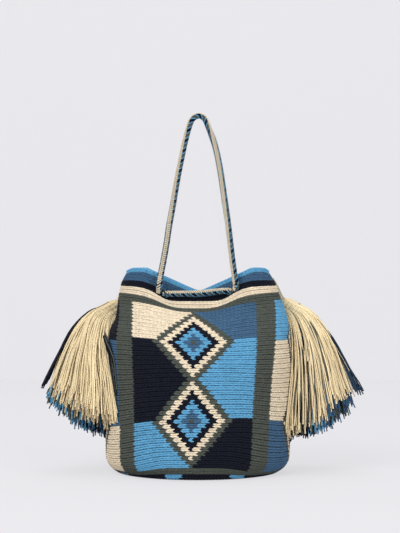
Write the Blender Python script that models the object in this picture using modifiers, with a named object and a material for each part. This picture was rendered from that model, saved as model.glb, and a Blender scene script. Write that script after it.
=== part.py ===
"""A wayuu mochila: a crocheted shoulder bag with a braided handle cord, a drawn mouth and two yarn tassels.

The bag stands on its base at the origin, +Z up, with its front towards -Y. Sizes are in metres.
The wall is described in the crochet's own terms: a row, counted up from the base, and a column,
counted in stitches from the middle of the front round to the viewer's right.
"""
import math

import bmesh
import bpy
import numpy as np
from mathutils import Vector

# The crochet
ROUND_STITCHES = 156
WALL_ROWS = 51
RIDGE_ROWS = 2
RIDGE_HEIGHT = 0.0008
WALL_THICKNESS = 0.0036
FLOOR_THICKNESS = 0.0040
RIM_ROLL = 0.0014
BODY_SEGMENTS = 60

# The base and its rounded corner
BASE_RADIUS = 0.080
CORNER_RADIUS = 0.020
CORNER_FLARE = 0.0012
BELLY_RADIUS = 0.1025
BELLY_ROW = 12.5

# The wall's profiles: a row and a size at each knot
LEFT_WIDTH = ((BELLY_ROW, 0.1008), (21, 0.1018), (30.5, 0.0970), (36, 0.0890), (41, 0.0868), (45, 0.0842), (51, 0.0775))
RIGHT_WIDTH = ((BELLY_ROW, 0.1012), (21, 0.1027), (30.5, 0.1012), (36, 0.0970), (41, 0.0910), (45, 0.0860), (51, 0.0775))
FRONT_DEPTH = ((BELLY_ROW, 0.1020), (21, 0.1015), (30.5, 0.0850), (36, 0.0680), (41, 0.0540), (45, 0.0500), (51, 0.0460))
BACK_DEPTH = ((BELLY_ROW, 0.1020), (21, 0.1020), (30.5, 0.0925), (41, 0.0730), (45, 0.0690), (51, 0.0640))
SQUARENESS = ((BELLY_ROW, 2.0), (21, 2.1), (30.5, 2.8), (41, 3.1), (51, 2.8))
SIDE_HEIGHT = ((0, 0.0020), (2, 0.0045), (BELLY_ROW, 0.0525), (21, 0.0990), (30.5, 0.1490), (41, 0.1905),
               (45, 0.2045), (51, 0.2224))
CENTRE_HEIGHT = ((0, 0.0070), (2, 0.0140), (BELLY_ROW, 0.0635), (21, 0.1050), (30.5, 0.1450), (36, 0.1630),
                 (41, 0.1760), (43, 0.1800), (45, 0.1875), (51, 0.1978))
PINCH = ((33, 0.0), (41, 0.006), (45, 0.013), (51, 0.031))
DIP_WIDTH = ((0, 0.055), (2, 0.055), (BELLY_ROW, 0.085), (30.5, 0.050), (41, 0.043), (45, 0.042), (51, 0.034))
DIP_EDGE = ((0, 4.0), (BELLY_ROW, 6.0), (30.5, 4.0), (41, 3.0), (43, 4.0), (45, 6.0), (51, 3.4))
DIP_MIDDLE = ((41, -0.0030), (45, -0.0035), (51, 0.0015))
RIM_DIP_ROW = 45
RIM_DIP_REACH = 0.0550
RIM_DIP_ROUNDING = 0.0040
LEFT_SLUMP = 0.0070
SLUMP_ROWS = 9.0

# The gathers that take up the drawn width, at the sides and the back
DRAWN_FROM_ROW = 21
DRAWN_BY_ROW = 30.5
GATHER_START = math.radians(60)
GATHER_END = math.radians(125)
GATHER_COUNT = 10
GATHER_DEPTH = 0.0038

# The cords
CORD_DIAMETER = 0.0070
CORD_CLEARANCE = 0.0009
EYELET_ROW = 46.2
RUN_COLUMN = 8.4
LEG_COLUMN = 10.6
FRONT_SIDE_COLUMN = 39.5
BACK_SIDE_COLUMN = 48.0
BACK_RUN_COLUMN = 69.4
INSIDE_ROW = 40.5
RUN_SAG = 0.0010
CORD_STEP = 0.008
CORD_GAP = 0.0024
MERGE_DISTANCE = 0.00005
KNOT_THICKNESS = 0.0019

# The route of the handle cord's free loop, from the left eyelet over the top to the right eyelet
HANDLE_ROUTE = (
    (-0.0415, -0.0480, 0.2045),
    (-0.0400, -0.0465, 0.2140),
    (-0.0368, -0.0430, 0.2310),
    (-0.0335, -0.0400, 0.2500),
    (-0.0309, -0.0370, 0.2680),
    (-0.0270, -0.0330, 0.2900),
    (-0.0226, -0.0290, 0.3165),
    (-0.0182, -0.0250, 0.3400),
    (-0.0138, -0.0220, 0.3610),
    (-0.0096, -0.0200, 0.3770),
    (-0.0056, -0.0190, 0.3860),
    (0.0012, -0.0185, 0.3895),
    (0.0078, -0.0190, 0.3860),
    (0.0125, -0.0200, 0.3750),
    (0.0190, -0.0225, 0.3560),
    (0.0232, -0.0255, 0.3370),
    (0.0265, -0.0285, 0.3165),
    (0.0298, -0.0325, 0.2930),
    (0.0325, -0.0360, 0.2740),
    (0.0345, -0.0390, 0.2570),
    (0.0371, -0.0425, 0.2340),
    (0.0397, -0.0462, 0.2150),
    (0.0412, -0.0480, 0.2050),
)

# The tassels: the neck's place, and how the yarn leaves it and falls
NECK_Y = 0.0160
LEFT_NECK_HEIGHT = 0.1780
RIGHT_NECK_HEIGHT = 0.1790
NECK_TILT = math.radians(62)
NECK_TURN = math.radians(25)
NECK_RADIUS = 0.0068
NECK_CLEARANCE = 0.0010
BINDING_LENGTH = 0.0090
BINDING_THICKNESS = 0.0016
BINDING_CLEARANCE = 0.0004
YARN_LENGTH = 0.1460
UNDER_YARN_LENGTH = 0.1520
INNER_START = math.radians(0)
LEFT_INNER_END = math.radians(-14)
RIGHT_INNER_END = math.radians(-9)
INNER_EASE = 0.060
OUTER_START = math.radians(95)
OUTER_END = math.radians(23)
OUTER_EASE = 0.021
OUTER_TRIM = 0.18
WALL_CLEARANCE = 0.0060
LAYER_CLEARANCE = 0.0140
LEFT_FRONT_SPREAD = 0.088
RIGHT_FRONT_SPREAD = 0.052
LEFT_BACK_SPREAD = 0.044
RIGHT_BACK_SPREAD = 0.048
SPREAD_EASE = 0.052
FLUTE_DEPTH = 0.045
SCALLOP_DEPTH = 0.0040
YARN_STEPS = 48
YARN_STATIONS = (0.13, 0.22, 0.34, 0.50, 0.68, 0.85, 1.0)

# Each bundle's yarn and its share of the fan, from the wall outwards; the cream lies in front of the rest
CREAM_TO = 0.93
CREAM_DEPTHS = (-1.0, -0.14)
CREAM_FLUTES = 15
LEFT_UNDER = (("mid_blue", 0.0, 0.21), ("light_blue", 0.27, 0.46), ("green", 0.53, 0.72), ("navy", 0.79, 1.0))
RIGHT_UNDER = (("navy", 0.0, 0.21), ("green", 0.27, 0.46), ("light_blue", 0.53, 0.72), ("mid_blue", 0.79, 1.0))
UNDER_DEPTHS = (-0.06, 1.0)
UNDER_FLUTES = 5

COLOURS = {
    "cream": (0.72, 0.60, 0.42),
    "navy": (0.009, 0.010, 0.018),
    "green": (0.072, 0.080, 0.068),
    "light_blue": (0.105, 0.290, 0.470),
    "mid_blue": (0.047, 0.102, 0.175),
}
YARN_ROUGHNESS = 0.9


def along(knots, row):
    """A smooth curve through knots of row and size, with no overshoot between them."""
    rows = np.array([knot[0] for knot in knots], dtype=float)
    sizes = np.array([knot[1] for knot in knots], dtype=float)
    row = np.clip(np.asarray(row, dtype=float), rows[0], rows[-1])
    steps = np.diff(rows)
    slopes = np.diff(sizes) / steps
    tangents = np.concatenate([slopes[:1], np.zeros(len(rows) - 2), slopes[-1:]])
    for k in range(1, len(rows) - 1):
        if slopes[k - 1] * slopes[k] > 0:
            first = 2 * steps[k] + steps[k - 1]
            second = steps[k] + 2 * steps[k - 1]
            tangents[k] = (first + second) / (first / slopes[k - 1] + second / slopes[k])
    spot = np.clip(np.searchsorted(rows, row, side="right") - 1, 0, len(rows) - 2)
    span = steps[spot]
    t = (row - rows[spot]) / span
    start = sizes[spot] * (1 + 2 * t) * (1 - t) ** 2 + tangents[spot] * span * t * (1 - t) ** 2
    finish = sizes[spot + 1] * t * t * (3 - 2 * t) - tangents[spot + 1] * span * t * t * (1 - t)
    return start + finish


def smooth(share):
    """A step from 0 to 1 with level ends."""
    share = np.clip(share, 0, 1)
    return share * share * (3 - 2 * share)


def corner(height):
    """The radius of the rounded lower corner at a height above the floor."""
    below = np.clip(CORNER_RADIUS - height, 0, CORNER_RADIUS)
    return BASE_RADIUS + np.sqrt(CORNER_RADIUS ** 2 - below ** 2)


def dipped(row, aside):
    """How far the wall is drawn down at a distance from the dip's middle: a flat dip, and a straight V at the rim."""
    flat = 1 / (1 + (aside / along(DIP_WIDTH, row)) ** along(DIP_EDGE, row))
    rounded = np.hypot(aside, RIM_DIP_ROUNDING) - RIM_DIP_ROUNDING
    straight = np.clip(1 - rounded / RIM_DIP_REACH, 0, 1)
    share = np.clip((row - RIM_DIP_ROW) / (WALL_ROWS - RIM_DIP_ROW), 0, 1)
    return flat * (1 - share) + straight * share


def plan(row, turn):
    """The wall's line at a row, at turns from the middle of the front round to the viewer's right."""
    sine, cosine = np.sin(turn), np.cos(turn)
    power = 2 / along(SQUARENESS, row)
    width = np.where(sine > 0, along(RIGHT_WIDTH, row), along(LEFT_WIDTH, row))
    depth = np.where(cosine > 0, along(FRONT_DEPTH, row), along(BACK_DEPTH, row))
    x = width * np.sign(sine) * np.abs(sine) ** power
    y = -depth * np.sign(cosine) * np.abs(cosine) ** power
    dip = dipped(row, np.abs(x - along(DIP_MIDDLE, row)))
    side = along(SIDE_HEIGHT, row)
    z = side + (along(CENTRE_HEIGHT, row) - side) * dip
    slump = np.exp(-((row - BELLY_ROW) / SLUMP_ROWS) ** 2) * smooth(-x / BELLY_RADIUS) * min(row / BELLY_ROW, 1)
    z = z - LEFT_SLUMP * slump
    y = y * (1 - along(PINCH, row) * dip / depth)
    if row < BELLY_ROW:
        keep = (row / BELLY_ROW) ** 2
        low = corner(z) + CORNER_FLARE * np.clip(z / along(SIDE_HEIGHT, BELLY_ROW), 0, 1)
        radius = low * (1 - keep) + np.hypot(x, y) * keep
        x, y = radius * sine, -radius * cosine
    return np.stack([x, y, z], axis=-1)


def gathered(turn):
    """Where the spare width is gathered: 0 at the front, 1 at the back."""
    return smooth((np.abs(turn) - GATHER_START) / (GATHER_END - GATHER_START))


def wall(row, column, samples=720):
    """Points on the wall at a row, at an array of columns."""
    turns = np.linspace(-math.pi, math.pi, samples + 1)
    line = plan(row, turns)
    travel = np.concatenate([[0], np.cumsum(np.linalg.norm(np.diff(line, axis=0), axis=1))])
    middles = gathered((turns[1:] + turns[:-1]) / 2)
    drawn = np.clip((row - DRAWN_FROM_ROW) / (DRAWN_BY_ROW - DRAWN_FROM_ROW), 0, 1)
    spare = drawn * (1 - travel[-1] / (2 * math.pi * BELLY_RADIUS)) / middles.mean()
    shares = np.concatenate([[0], np.cumsum(1 - spare * middles)])
    shares = shares / shares[-1]
    turn = (np.asarray(column, dtype=float) / ROUND_STITCHES + 0.5) % 1.0 * 2 * math.pi - math.pi
    offset = np.interp(turn, turns, shares) - np.interp(0, turns, shares)
    place = (np.interp(0, turns, travel) + offset * travel[-1]) % travel[-1]
    return np.stack([np.interp(place, travel, line[:, k]) for k in range(3)], axis=-1)


def outward(row, column, step=0.25):
    """The wall's outward direction at a row, at an array of columns."""
    low, high = max(row - step, 0), min(row + step, WALL_ROWS)
    up = wall(high, column) - wall(low, column)
    across = wall(row, column + step) - wall(row, column - step)
    normal = np.cross(across, up)
    return normal / np.linalg.norm(normal, axis=-1, keepdims=True)


def draped(row, column, offset=0.0):
    """The wall moved outwards by an offset, with its soft gathers."""
    column = np.atleast_1d(np.asarray(column, dtype=float))
    turn = (column / ROUND_STITCHES + 0.5) % 1.0 * 2 * math.pi - math.pi
    rise = smooth((row - DRAWN_FROM_ROW) / (WALL_ROWS - DRAWN_FROM_ROW))
    wave = GATHER_DEPTH * rise * gathered(turn) * np.cos(turn * GATHER_COUNT)
    return wall(row, column) + outward(row, column) * (offset + wave)[:, None]


def clear_scene():
    for old in list(bpy.data.objects):
        bpy.data.objects.remove(old, do_unlink=True)


def new_collection(name):
    collection = bpy.data.collections.new(name)
    bpy.context.scene.collection.children.link(collection)
    return collection


def new_material(name, colour):
    material = bpy.data.materials.new(name)
    material.use_nodes = True
    shader = material.node_tree.nodes["Principled BSDF"]
    shader.inputs["Base Color"].default_value = (*colour, 1)
    shader.inputs["Roughness"].default_value = YARN_ROUGHNESS
    shader.inputs["Metallic"].default_value = 0.0
    material.diffuse_color = (*colour, 1)
    return material


def add_object(name, data, collection, colour):
    thing = bpy.data.objects.new(name, data)
    data.materials.append(new_material(name, COLOURS[colour]))
    collection.objects.link(thing)
    return thing


def loft(rings, closed_ends=True):
    """A mesh through rings of points of one count each, with a flat face over each end."""
    shape = bmesh.new()
    loops = [[shape.verts.new(Vector(point)) for point in ring] for ring in rings]
    for lower, upper in zip(loops, loops[1:]):
        for k in range(len(lower)):
            after = (k + 1) % len(lower)
            shape.faces.new((lower[k], lower[after], upper[after], upper[k]))
    if closed_ends:
        shape.faces.new(loops[0][::-1])
        shape.faces.new(loops[-1])
    bmesh.ops.recalc_face_normals(shape, faces=shape.faces)
    mesh = bpy.data.meshes.new("loft")
    shape.to_mesh(mesh)
    shape.free()
    mesh.shade_smooth()
    mesh.set_sharp_from_angle(angle=math.radians(40))
    return mesh


def foot_ring(columns, share, inset=0.0):
    """A ring on the rounded corner, from the flat base at share 0 to the wall's first row at share 1."""
    first = draped(0, columns, -inset)
    turn = np.arctan2(first[:, 0], -first[:, 1])
    height = first[:, 2] * share ** 2 + inset * (1 - share)
    radius = np.hypot(first[:, 0], first[:, 1])
    low = corner(first[:, 2] * share ** 2) - inset * share
    radius = low * (1 - share) + radius * share
    return np.stack([radius * np.sin(turn), -radius * np.cos(turn), height], axis=-1)


def body_rings():
    """The rings of the closed shell, from the middle of the base up the outside and down the inside."""
    columns = np.arange(BODY_SEGMENTS) * ROUND_STITCHES / BODY_SEGMENTS
    ridge = RIDGE_ROWS / 2
    rings = [foot_ring(columns, 0.0), foot_ring(columns, 0.5)]
    last = WALL_ROWS - 1
    for step in range(int(last / ridge) + 1):
        crest = RIDGE_HEIGHT if step % 2 else 0.0
        rings.append(draped(step * ridge, columns, crest))
    rings.append(draped(WALL_ROWS - 0.2, columns, RIM_ROLL))
    top = draped(WALL_ROWS, columns, -WALL_THICKNESS / 2)
    top[:, 2] += RIM_ROLL
    rings.append(top)
    rings.append(draped(WALL_ROWS - 0.2, columns, -WALL_THICKNESS - RIM_ROLL))
    for row in (last, 47, 44, 41, 37, 32, 26, 18, 9, 3, 0):
        rings.append(draped(row, columns, -WALL_THICKNESS))
    rings.append(foot_ring(columns, 0.0, FLOOR_THICKNESS))
    return rings


def passage(column, straight=False):
    """Where a cord's middle passes through the wall, and its outward direction, kept square to X if straight."""
    place = draped(EYELET_ROW, column, -WALL_THICKNESS / 2)[0]
    direction = outward(EYELET_ROW, np.array([column]))[0]
    if straight:
        direction[0] = 0
    return place, direction / np.linalg.norm(direction)


def crochet_body(collection, cutters):
    body = add_object("crochet_body", loft(body_rings()), collection, "light_blue")
    cut = body.modifiers.new("eyelets", "BOOLEAN")
    cut.operation = "DIFFERENCE"
    cut.operand_type = "COLLECTION"
    cut.collection = cutters
    return body


def smooth_route(points, step=CORD_STEP):
    """Points at even steps along a smooth curve through a route's own points."""
    points = np.array(points, dtype=float)
    padded = np.vstack([2 * points[0] - points[1], points, 2 * points[-1] - points[-2]])
    fine = []
    for k in range(1, len(padded) - 2):
        before, start, end, after = padded[k - 1:k + 3]
        for t in np.linspace(0, 1, 16, endpoint=False):
            bend = (2 * before - 5 * start + 4 * end - after) * t ** 2
            turn = (3 * start - before - 3 * end + after) * t ** 3
            fine.append((2 * start + (end - before) * t + bend + turn) / 2)
    fine = np.vstack([fine, points[-1]])
    travel = np.concatenate([[0], np.cumsum(np.linalg.norm(np.diff(fine, axis=0), axis=1))])
    count = max(int(round(travel[-1] / step)), 4)
    even = np.linspace(0, travel[-1], count + 1)
    return np.stack([np.interp(even, travel, fine[:, k]) for k in range(3)], axis=-1)


def round_curve(name, line, radius, collection):
    curve = bpy.data.curves.new(name, "CURVE")
    curve.dimensions = "3D"
    curve.bevel_depth = radius
    curve.bevel_resolution = 2
    curve.use_fill_caps = True
    spline = curve.splines.new("POLY")
    spline.points.add(len(line) - 1)
    for point, place in zip(spline.points, line):
        point.co = (*place, 1)
    thing = bpy.data.objects.new(name, curve)
    collection.objects.link(thing)
    return thing


def clearance_cutter(name, line, collection):
    """A tube round a cord's line, wide enough to clear the cord's way through the wall."""
    curve = round_curve(name, line, CORD_DIAMETER / 2 + CORD_CLEARANCE, collection)
    bpy.context.view_layer.update()
    evaluated = curve.evaluated_get(bpy.context.evaluated_depsgraph_get())
    mesh = bpy.data.meshes.new_from_object(evaluated)
    bpy.data.objects.remove(curve, do_unlink=True)
    shape = bmesh.new()
    shape.from_mesh(mesh)
    bmesh.ops.remove_doubles(shape, verts=shape.verts, dist=MERGE_DISTANCE)
    shape.to_mesh(mesh)
    shape.free()
    cutter = bpy.data.objects.new(name, mesh)
    collection.objects.link(cutter)
    cutter.hide_render = True
    cutter.display_type = "WIRE"


def cord(name, route, collection, cutters):
    line = smooth_route(route)
    clearance_cutter(f"{name}_clearance", line, cutters)
    thing = round_curve(name, line, CORD_DIAMETER / 2, collection)
    thing.data.materials.append(new_material(name, COLOURS["cream"]))


def through(place, direction, distances):
    """Points on the straight line through the wall at an eyelet."""
    return [place + direction * distance for distance in distances]


def turned_to(thing, direction):
    """Turns an object so that its +Z lies along a direction."""
    thing.rotation_euler = Vector(direction).to_track_quat("Z", "Y").to_euler()


def stopper_knot(name, place, direction, collection):
    ring = CORD_DIAMETER / 2 + CORD_CLEARANCE + KNOT_THICKNESS
    bpy.ops.mesh.primitive_torus_add(major_segments=20, minor_segments=8, major_radius=ring,
                                     minor_radius=KNOT_THICKNESS, location=place)
    knot = bpy.context.active_object
    turned_to(knot, direction)
    knot.name = name
    for old in knot.users_collection:
        old.objects.unlink(knot)
    collection.objects.link(knot)
    knot.data.name = name
    knot.data.shade_smooth()
    knot.data.materials.append(new_material(name, COLOURS["cream"]))
    return knot


def side_wall(side, height, y):
    """How far out the bag's side reaches at heights and depths."""
    rows = np.linspace(BELLY_ROW, WALL_ROWS, 80)
    row = np.interp(height, along(SIDE_HEIGHT, rows), rows)
    width = along(LEFT_WIDTH if side < 0 else RIGHT_WIDTH, row)
    depth = np.where(np.asarray(y) < 0, along(FRONT_DEPTH, row), along(BACK_DEPTH, row))
    power = along(SQUARENESS, row)
    return width * (1 - np.clip(np.abs(y) / depth, 0, 0.95) ** power) ** (1 / power)


def neck_frame(side):
    """The middle of a tassel's binding, the direction in which its yarn leaves, and two directions across it."""
    height = LEFT_NECK_HEIGHT if side < 0 else RIGHT_NECK_HEIGHT
    aside, ahead = math.sin(NECK_TILT) * math.cos(NECK_TURN), math.sin(NECK_TILT) * math.sin(NECK_TURN)
    away = np.array([side * aside, -ahead, -math.cos(NECK_TILT)])
    level = np.array([-side * math.sin(NECK_TURN), -math.cos(NECK_TURN), 0])
    upward = np.cross(level, away) * side
    outer = NECK_RADIUS + BINDING_CLEARANCE + BINDING_THICKNESS
    stand_off = BINDING_LENGTH / 2 * aside + outer * math.sqrt(1 - aside ** 2) + NECK_CLEARANCE + GATHER_DEPTH / 2
    reach = float(side_wall(side, height, NECK_Y)) + stand_off
    return np.array([side * reach, NECK_Y, height]), away, upward, level


def yarn_paths(side, out, deep, lengths):
    """Lines of strands: out is each one's share from the wall outwards, deep its share from front to back."""
    neck, away, upward, level = neck_frame(side)
    out, deep = np.asarray(out, dtype=float), np.asarray(deep, dtype=float)
    across = 2 * out - 1
    place = neck - away * BINDING_LENGTH / 2 + np.zeros((len(out), 3))
    place = place + upward * (across * np.sqrt(1 - deep ** 2 / 2) * NECK_RADIUS)[:, None]
    place = place - level * (deep * np.sqrt(1 - across ** 2 / 2) * NECK_RADIUS)[:, None]
    first = INNER_START + (OUTER_START - INNER_START) * out
    inner_end = LEFT_INNER_END if side < 0 else RIGHT_INNER_END
    last = inner_end + (OUTER_END - inner_end) * out
    ease = INNER_EASE + (OUTER_EASE - INNER_EASE) * out
    front = LEFT_FRONT_SPREAD if side < 0 else RIGHT_FRONT_SPREAD
    back = LEFT_BACK_SPREAD if side < 0 else RIGHT_BACK_SPREAD
    spread = np.where(deep < 0, front, back) * deep / SPREAD_EASE
    step = np.asarray(lengths) / YARN_STEPS
    straight = place.copy()
    lines = [place.copy()]
    for k in range(YARN_STEPS):
        gone = np.maximum((k + 0.5) * step - BINDING_LENGTH, 0)
        angle = last + (first - last) * np.exp(-gone / ease)
        sideways = np.clip(spread * np.exp(-gone / SPREAD_EASE), -0.9, 0.9)
        down = np.sqrt(1 - sideways ** 2)
        fall = np.stack([side * down * np.sin(angle), sideways, -down * np.cos(angle)], axis=-1)
        bound = np.where(gone > 0, np.exp(-gone / (BINDING_LENGTH / 2)), 1)[:, None]
        heading = away * bound + fall * (1 - bound)
        heading = heading / np.linalg.norm(heading, axis=-1, keepdims=True)
        straight = straight + heading * step[:, None]
        free = smooth(gone / BINDING_LENGTH)
        at_neck = side_wall(side, straight[:, 2], NECK_Y)
        clear = at_neck + WALL_CLEARANCE + LAYER_CLEARANCE * out
        reach = np.maximum(side * straight[:, 0], clear * free)
        straight[:, 0] = side * reach
        drawn_in = (at_neck - side_wall(side, straight[:, 2], straight[:, 1])) * free
        shifted = straight.copy()
        shifted[:, 0] = side * (reach - drawn_in)
        lines.append(shifted)
    return np.stack(lines, axis=1)


def along_line(line, share):
    """The point at a share of the way along a line of evenly spaced points."""
    return [np.interp(share, np.linspace(0, 1, len(line)), line[:, k]) for k in range(3)]


def bundle_rings(side, outs, deeps, length, flutes, fluted_front):
    """Rings round one colour's bundle of yarn, fluted on its outer face and scalloped at its tips."""
    plain = max(flutes // 2, 2)
    out, deep, valley = [], [], []
    for face, count, (start, stop) in ((0, flutes, outs), (1, plain, outs[::-1])):
        fluted = fluted_front == (face == 0)
        for k in range(2 * count + 1):
            lift = FLUTE_DEPTH * (k % 2) * (1 if face == 0 else -1)
            out.append(start + (stop - start) * k / (2 * count))
            deep.append(deeps[face] + (lift if fluted else 0))
            valley.append(k % 2)
    lengths = length * (1 - OUTER_TRIM * np.array(out) ** 3) - SCALLOP_DEPTH * np.array(valley)
    lines = yarn_paths(side, out, deep, lengths)
    leaving = (BINDING_LENGTH + BINDING_CLEARANCE) / lengths
    stations = [0 * leaving, leaving] + [station + 0 * leaving for station in YARN_STATIONS]
    return [[along_line(line, share) for line, share in zip(lines, shares)] for shares in stations]


def tassel(side_name, side, collection):
    front = bundle_rings(side, (0.0, CREAM_TO), CREAM_DEPTHS, YARN_LENGTH, CREAM_FLUTES, True)
    add_object(f"tassel_{side_name}_cream", loft(front), collection, "cream")
    for colour, start, stop in LEFT_UNDER if side < 0 else RIGHT_UNDER:
        under = bundle_rings(side, (start, stop), UNDER_DEPTHS, UNDER_YARN_LENGTH, UNDER_FLUTES, False)
        add_object(f"tassel_{side_name}_{colour}", loft(under), collection, colour)


def binding(side_name, side, collection):
    """The yarn wound round a tassel's neck: a turned ring on the neck's own direction."""
    place, direction, _, _ = neck_frame(side)
    inner = NECK_RADIUS + BINDING_CLEARANCE
    outer = inner + BINDING_THICKNESS
    half = BINDING_LENGTH / 2
    bulge = BINDING_THICKNESS / 4
    profile = ((outer - bulge, half), (outer, half / 2), (outer, -half / 2), (outer - bulge, -half),
               (inner, -half), (inner, half))
    mesh = bpy.data.meshes.new(f"tassel_binding_{side_name}")
    edges = [(k, (k + 1) % len(profile)) for k in range(len(profile))]
    mesh.from_pydata([(radius, 0, height) for radius, height in profile], edges, [])
    ring = add_object(f"tassel_binding_{side_name}", mesh, collection, "cream")
    ring.location = place
    turned_to(ring, direction)
    screw = ring.modifiers.new("turned", "SCREW")
    screw.steps = screw.render_steps = 24
    screw.use_merge_vertices = True
    screw.merge_threshold = MERGE_DISTANCE
    screw.use_normal_calculate = True
    return ring


def drawstring_half(side, front):
    """Half of a mouth cord: from its tassel in through the side eyelet, along the inside, out to the run."""
    side_column = FRONT_SIDE_COLUMN if front else BACK_SIDE_COLUMN
    run_column = RUN_COLUMN if front else BACK_RUN_COLUMN
    toward = -1 if front else 1
    inside = -WALL_THICKNESS / 2 - CORD_DIAMETER
    outside = WALL_THICKNESS / 2 + CORD_DIAMETER
    neck, away, upward, level = neck_frame(side)
    entry = neck - away * (BINDING_LENGTH / 2 + BINDING_CLEARANCE)
    entry = entry - level * toward * (CORD_DIAMETER + CORD_GAP) / 2
    half = [entry, entry - away * CORD_DIAMETER]
    place, direction = passage(side * side_column)
    half += through(place, direction, (outside, 0.0, inside))
    start, stop = side_column + toward * 5, run_column - toward * 4
    for share in (0.1, 0.4, 0.7, 1.0):
        column = side * (start + (stop - start) * share)
        half.append(draped(INSIDE_ROW, column, inside - CORD_DIAMETER / 2)[0])
    place, direction = passage(side * run_column, straight=True)
    half += through(place, direction, (1.5 * inside, 0.0, 0.8 * CORD_DIAMETER))
    half.append(half[-1] - np.array([side * 1.2 * CORD_DIAMETER, 0, 0]))
    return half


def drawstring_route(front):
    left, right = drawstring_half(-1, front), drawstring_half(1, front)
    middle = (left[-1] + right[-1]) / 2 - np.array([0, 0, RUN_SAG])
    return left + [middle] + right[::-1]


def main():
    clear_scene()
    bag = new_collection("wayuu_mochila_bag")
    cutters = new_collection("cutters")
    cord("drawstring_front", drawstring_route(True), bag, cutters)
    cord("drawstring_back", drawstring_route(False), bag, cutters)
    ends = []
    for side in (-1, 1):
        place, direction = passage(side * LEG_COLUMN)
        inner = through(place, direction, (0.0, -1.9 * CORD_DIAMETER))
        ends.append((inner, direction))
    route = ends[0][0][::-1] + [np.array(point) for point in HANDLE_ROUTE] + ends[1][0]
    cord("handle_cord", route, bag, cutters)
    crochet_body(bag, cutters)
    for side_name, (inner, direction) in zip(("left", "right"), ends):
        middle = inner[0] * 0.4 + inner[1] * 0.6
        stopper_knot(f"handle_knot_{side_name}", middle, direction, bag)
    for side_name, side in (("left", -1), ("right", 1)):
        binding(side_name, side, bag)
        tassel(side_name, side, bag)


main()
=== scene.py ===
"""The finish of a wayuu mochila: a crocheted bag with a braided handle cord, a drawn mouth and two tassels.

Sizes are in metres, the bag stands on its base at the origin, +Z up, with its front towards -Y. A place on
the crochet is a row, counted up from the base, and a column, counted in stitches from the front's middle.
A side is -1 for the left one and 1 for the right one.
"""
import math

import bmesh
import bpy
import numpy as np
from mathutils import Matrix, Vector


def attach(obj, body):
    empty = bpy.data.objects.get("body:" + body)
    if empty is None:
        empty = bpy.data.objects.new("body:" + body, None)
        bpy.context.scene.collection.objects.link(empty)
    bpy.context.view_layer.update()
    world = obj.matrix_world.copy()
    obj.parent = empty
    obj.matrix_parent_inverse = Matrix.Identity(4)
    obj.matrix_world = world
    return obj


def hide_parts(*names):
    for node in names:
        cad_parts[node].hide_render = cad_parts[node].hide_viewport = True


# The crochet, as it is modelled in the part
ROUND_STITCHES = 156
STITCHES = np.arange(ROUND_STITCHES) - ROUND_STITCHES // 2
WALL_ROWS = 51
WALL_SAMPLES = 720
WALL_THICKNESS = 0.0036
RIDGE_HEIGHT = 0.0008
BASE_RADIUS = 0.080
CORNER_RADIUS = 0.020
CORNER_FLARE = 0.0012
BELLY_RADIUS = 0.1025
BELLY_ROW = 12.5

# The wall's profiles: a row and a size at each knot
LEFT_WIDTH = ((BELLY_ROW, 0.1008), (21, 0.1018), (30.5, 0.0970), (36, 0.0890), (41, 0.0868),
              (45, 0.0842), (51, 0.0775))
RIGHT_WIDTH = ((BELLY_ROW, 0.1012), (21, 0.1027), (30.5, 0.1012), (36, 0.0970), (41, 0.0910),
               (45, 0.0860), (51, 0.0775))
FRONT_DEPTH = ((BELLY_ROW, 0.1020), (21, 0.1015), (30.5, 0.0850), (36, 0.0680), (41, 0.0540),
               (45, 0.0500), (51, 0.0460))
BACK_DEPTH = ((BELLY_ROW, 0.1020), (21, 0.1020), (30.5, 0.0925), (41, 0.0730), (45, 0.0690), (51, 0.0640))
SQUARENESS = ((BELLY_ROW, 2.0), (21, 2.1), (30.5, 2.8), (41, 3.1), (51, 2.8))
SIDE_HEIGHT = ((0, 0.0020), (2, 0.0045), (BELLY_ROW, 0.0525), (21, 0.0990), (30.5, 0.1490), (41, 0.1905),
               (45, 0.2045), (51, 0.2224))
CENTRE_HEIGHT = ((0, 0.0070), (2, 0.0140), (BELLY_ROW, 0.0635), (21, 0.1050), (30.5, 0.1450), (36, 0.1630),
                 (41, 0.1760), (43, 0.1800), (45, 0.1875), (51, 0.1978))
PINCH = ((33, 0.0), (41, 0.006), (45, 0.013), (51, 0.031))
DIP_WIDTH = ((0, 0.055), (2, 0.055), (BELLY_ROW, 0.085), (30.5, 0.050), (41, 0.043), (45, 0.042),
             (51, 0.034))
DIP_EDGE = ((0, 4.0), (BELLY_ROW, 6.0), (30.5, 4.0), (41, 3.0), (43, 4.0), (45, 6.0), (51, 3.4))
DIP_MIDDLE = ((41, -0.0030), (45, -0.0035), (51, 0.0015))
RIM_DIP_ROW = 45
RIM_DIP_REACH = 0.0550
RIM_DIP_ROUNDING = 0.0040
LEFT_SLUMP = 0.0070
SLUMP_ROWS = 9.0
DRAWN_FROM_ROW = 21
DRAWN_BY_ROW = 30.5
GATHER_START = math.radians(60)
GATHER_END = math.radians(125)
GATHER_COUNT = 10
GATHER_DEPTH = 0.0038
CALM_FROM_ROW = 46.5
RIM_SHOULDER = 0.068
RIM_ROUNDING = 0.0028

# How far the pattern's middle stands off the front's middle, in degrees, at a row
PATTERN_SLANT = ((2, -4.1), (BELLY_ROW, -3.5), (30.5, -2.4), (51, -2.5))

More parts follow.
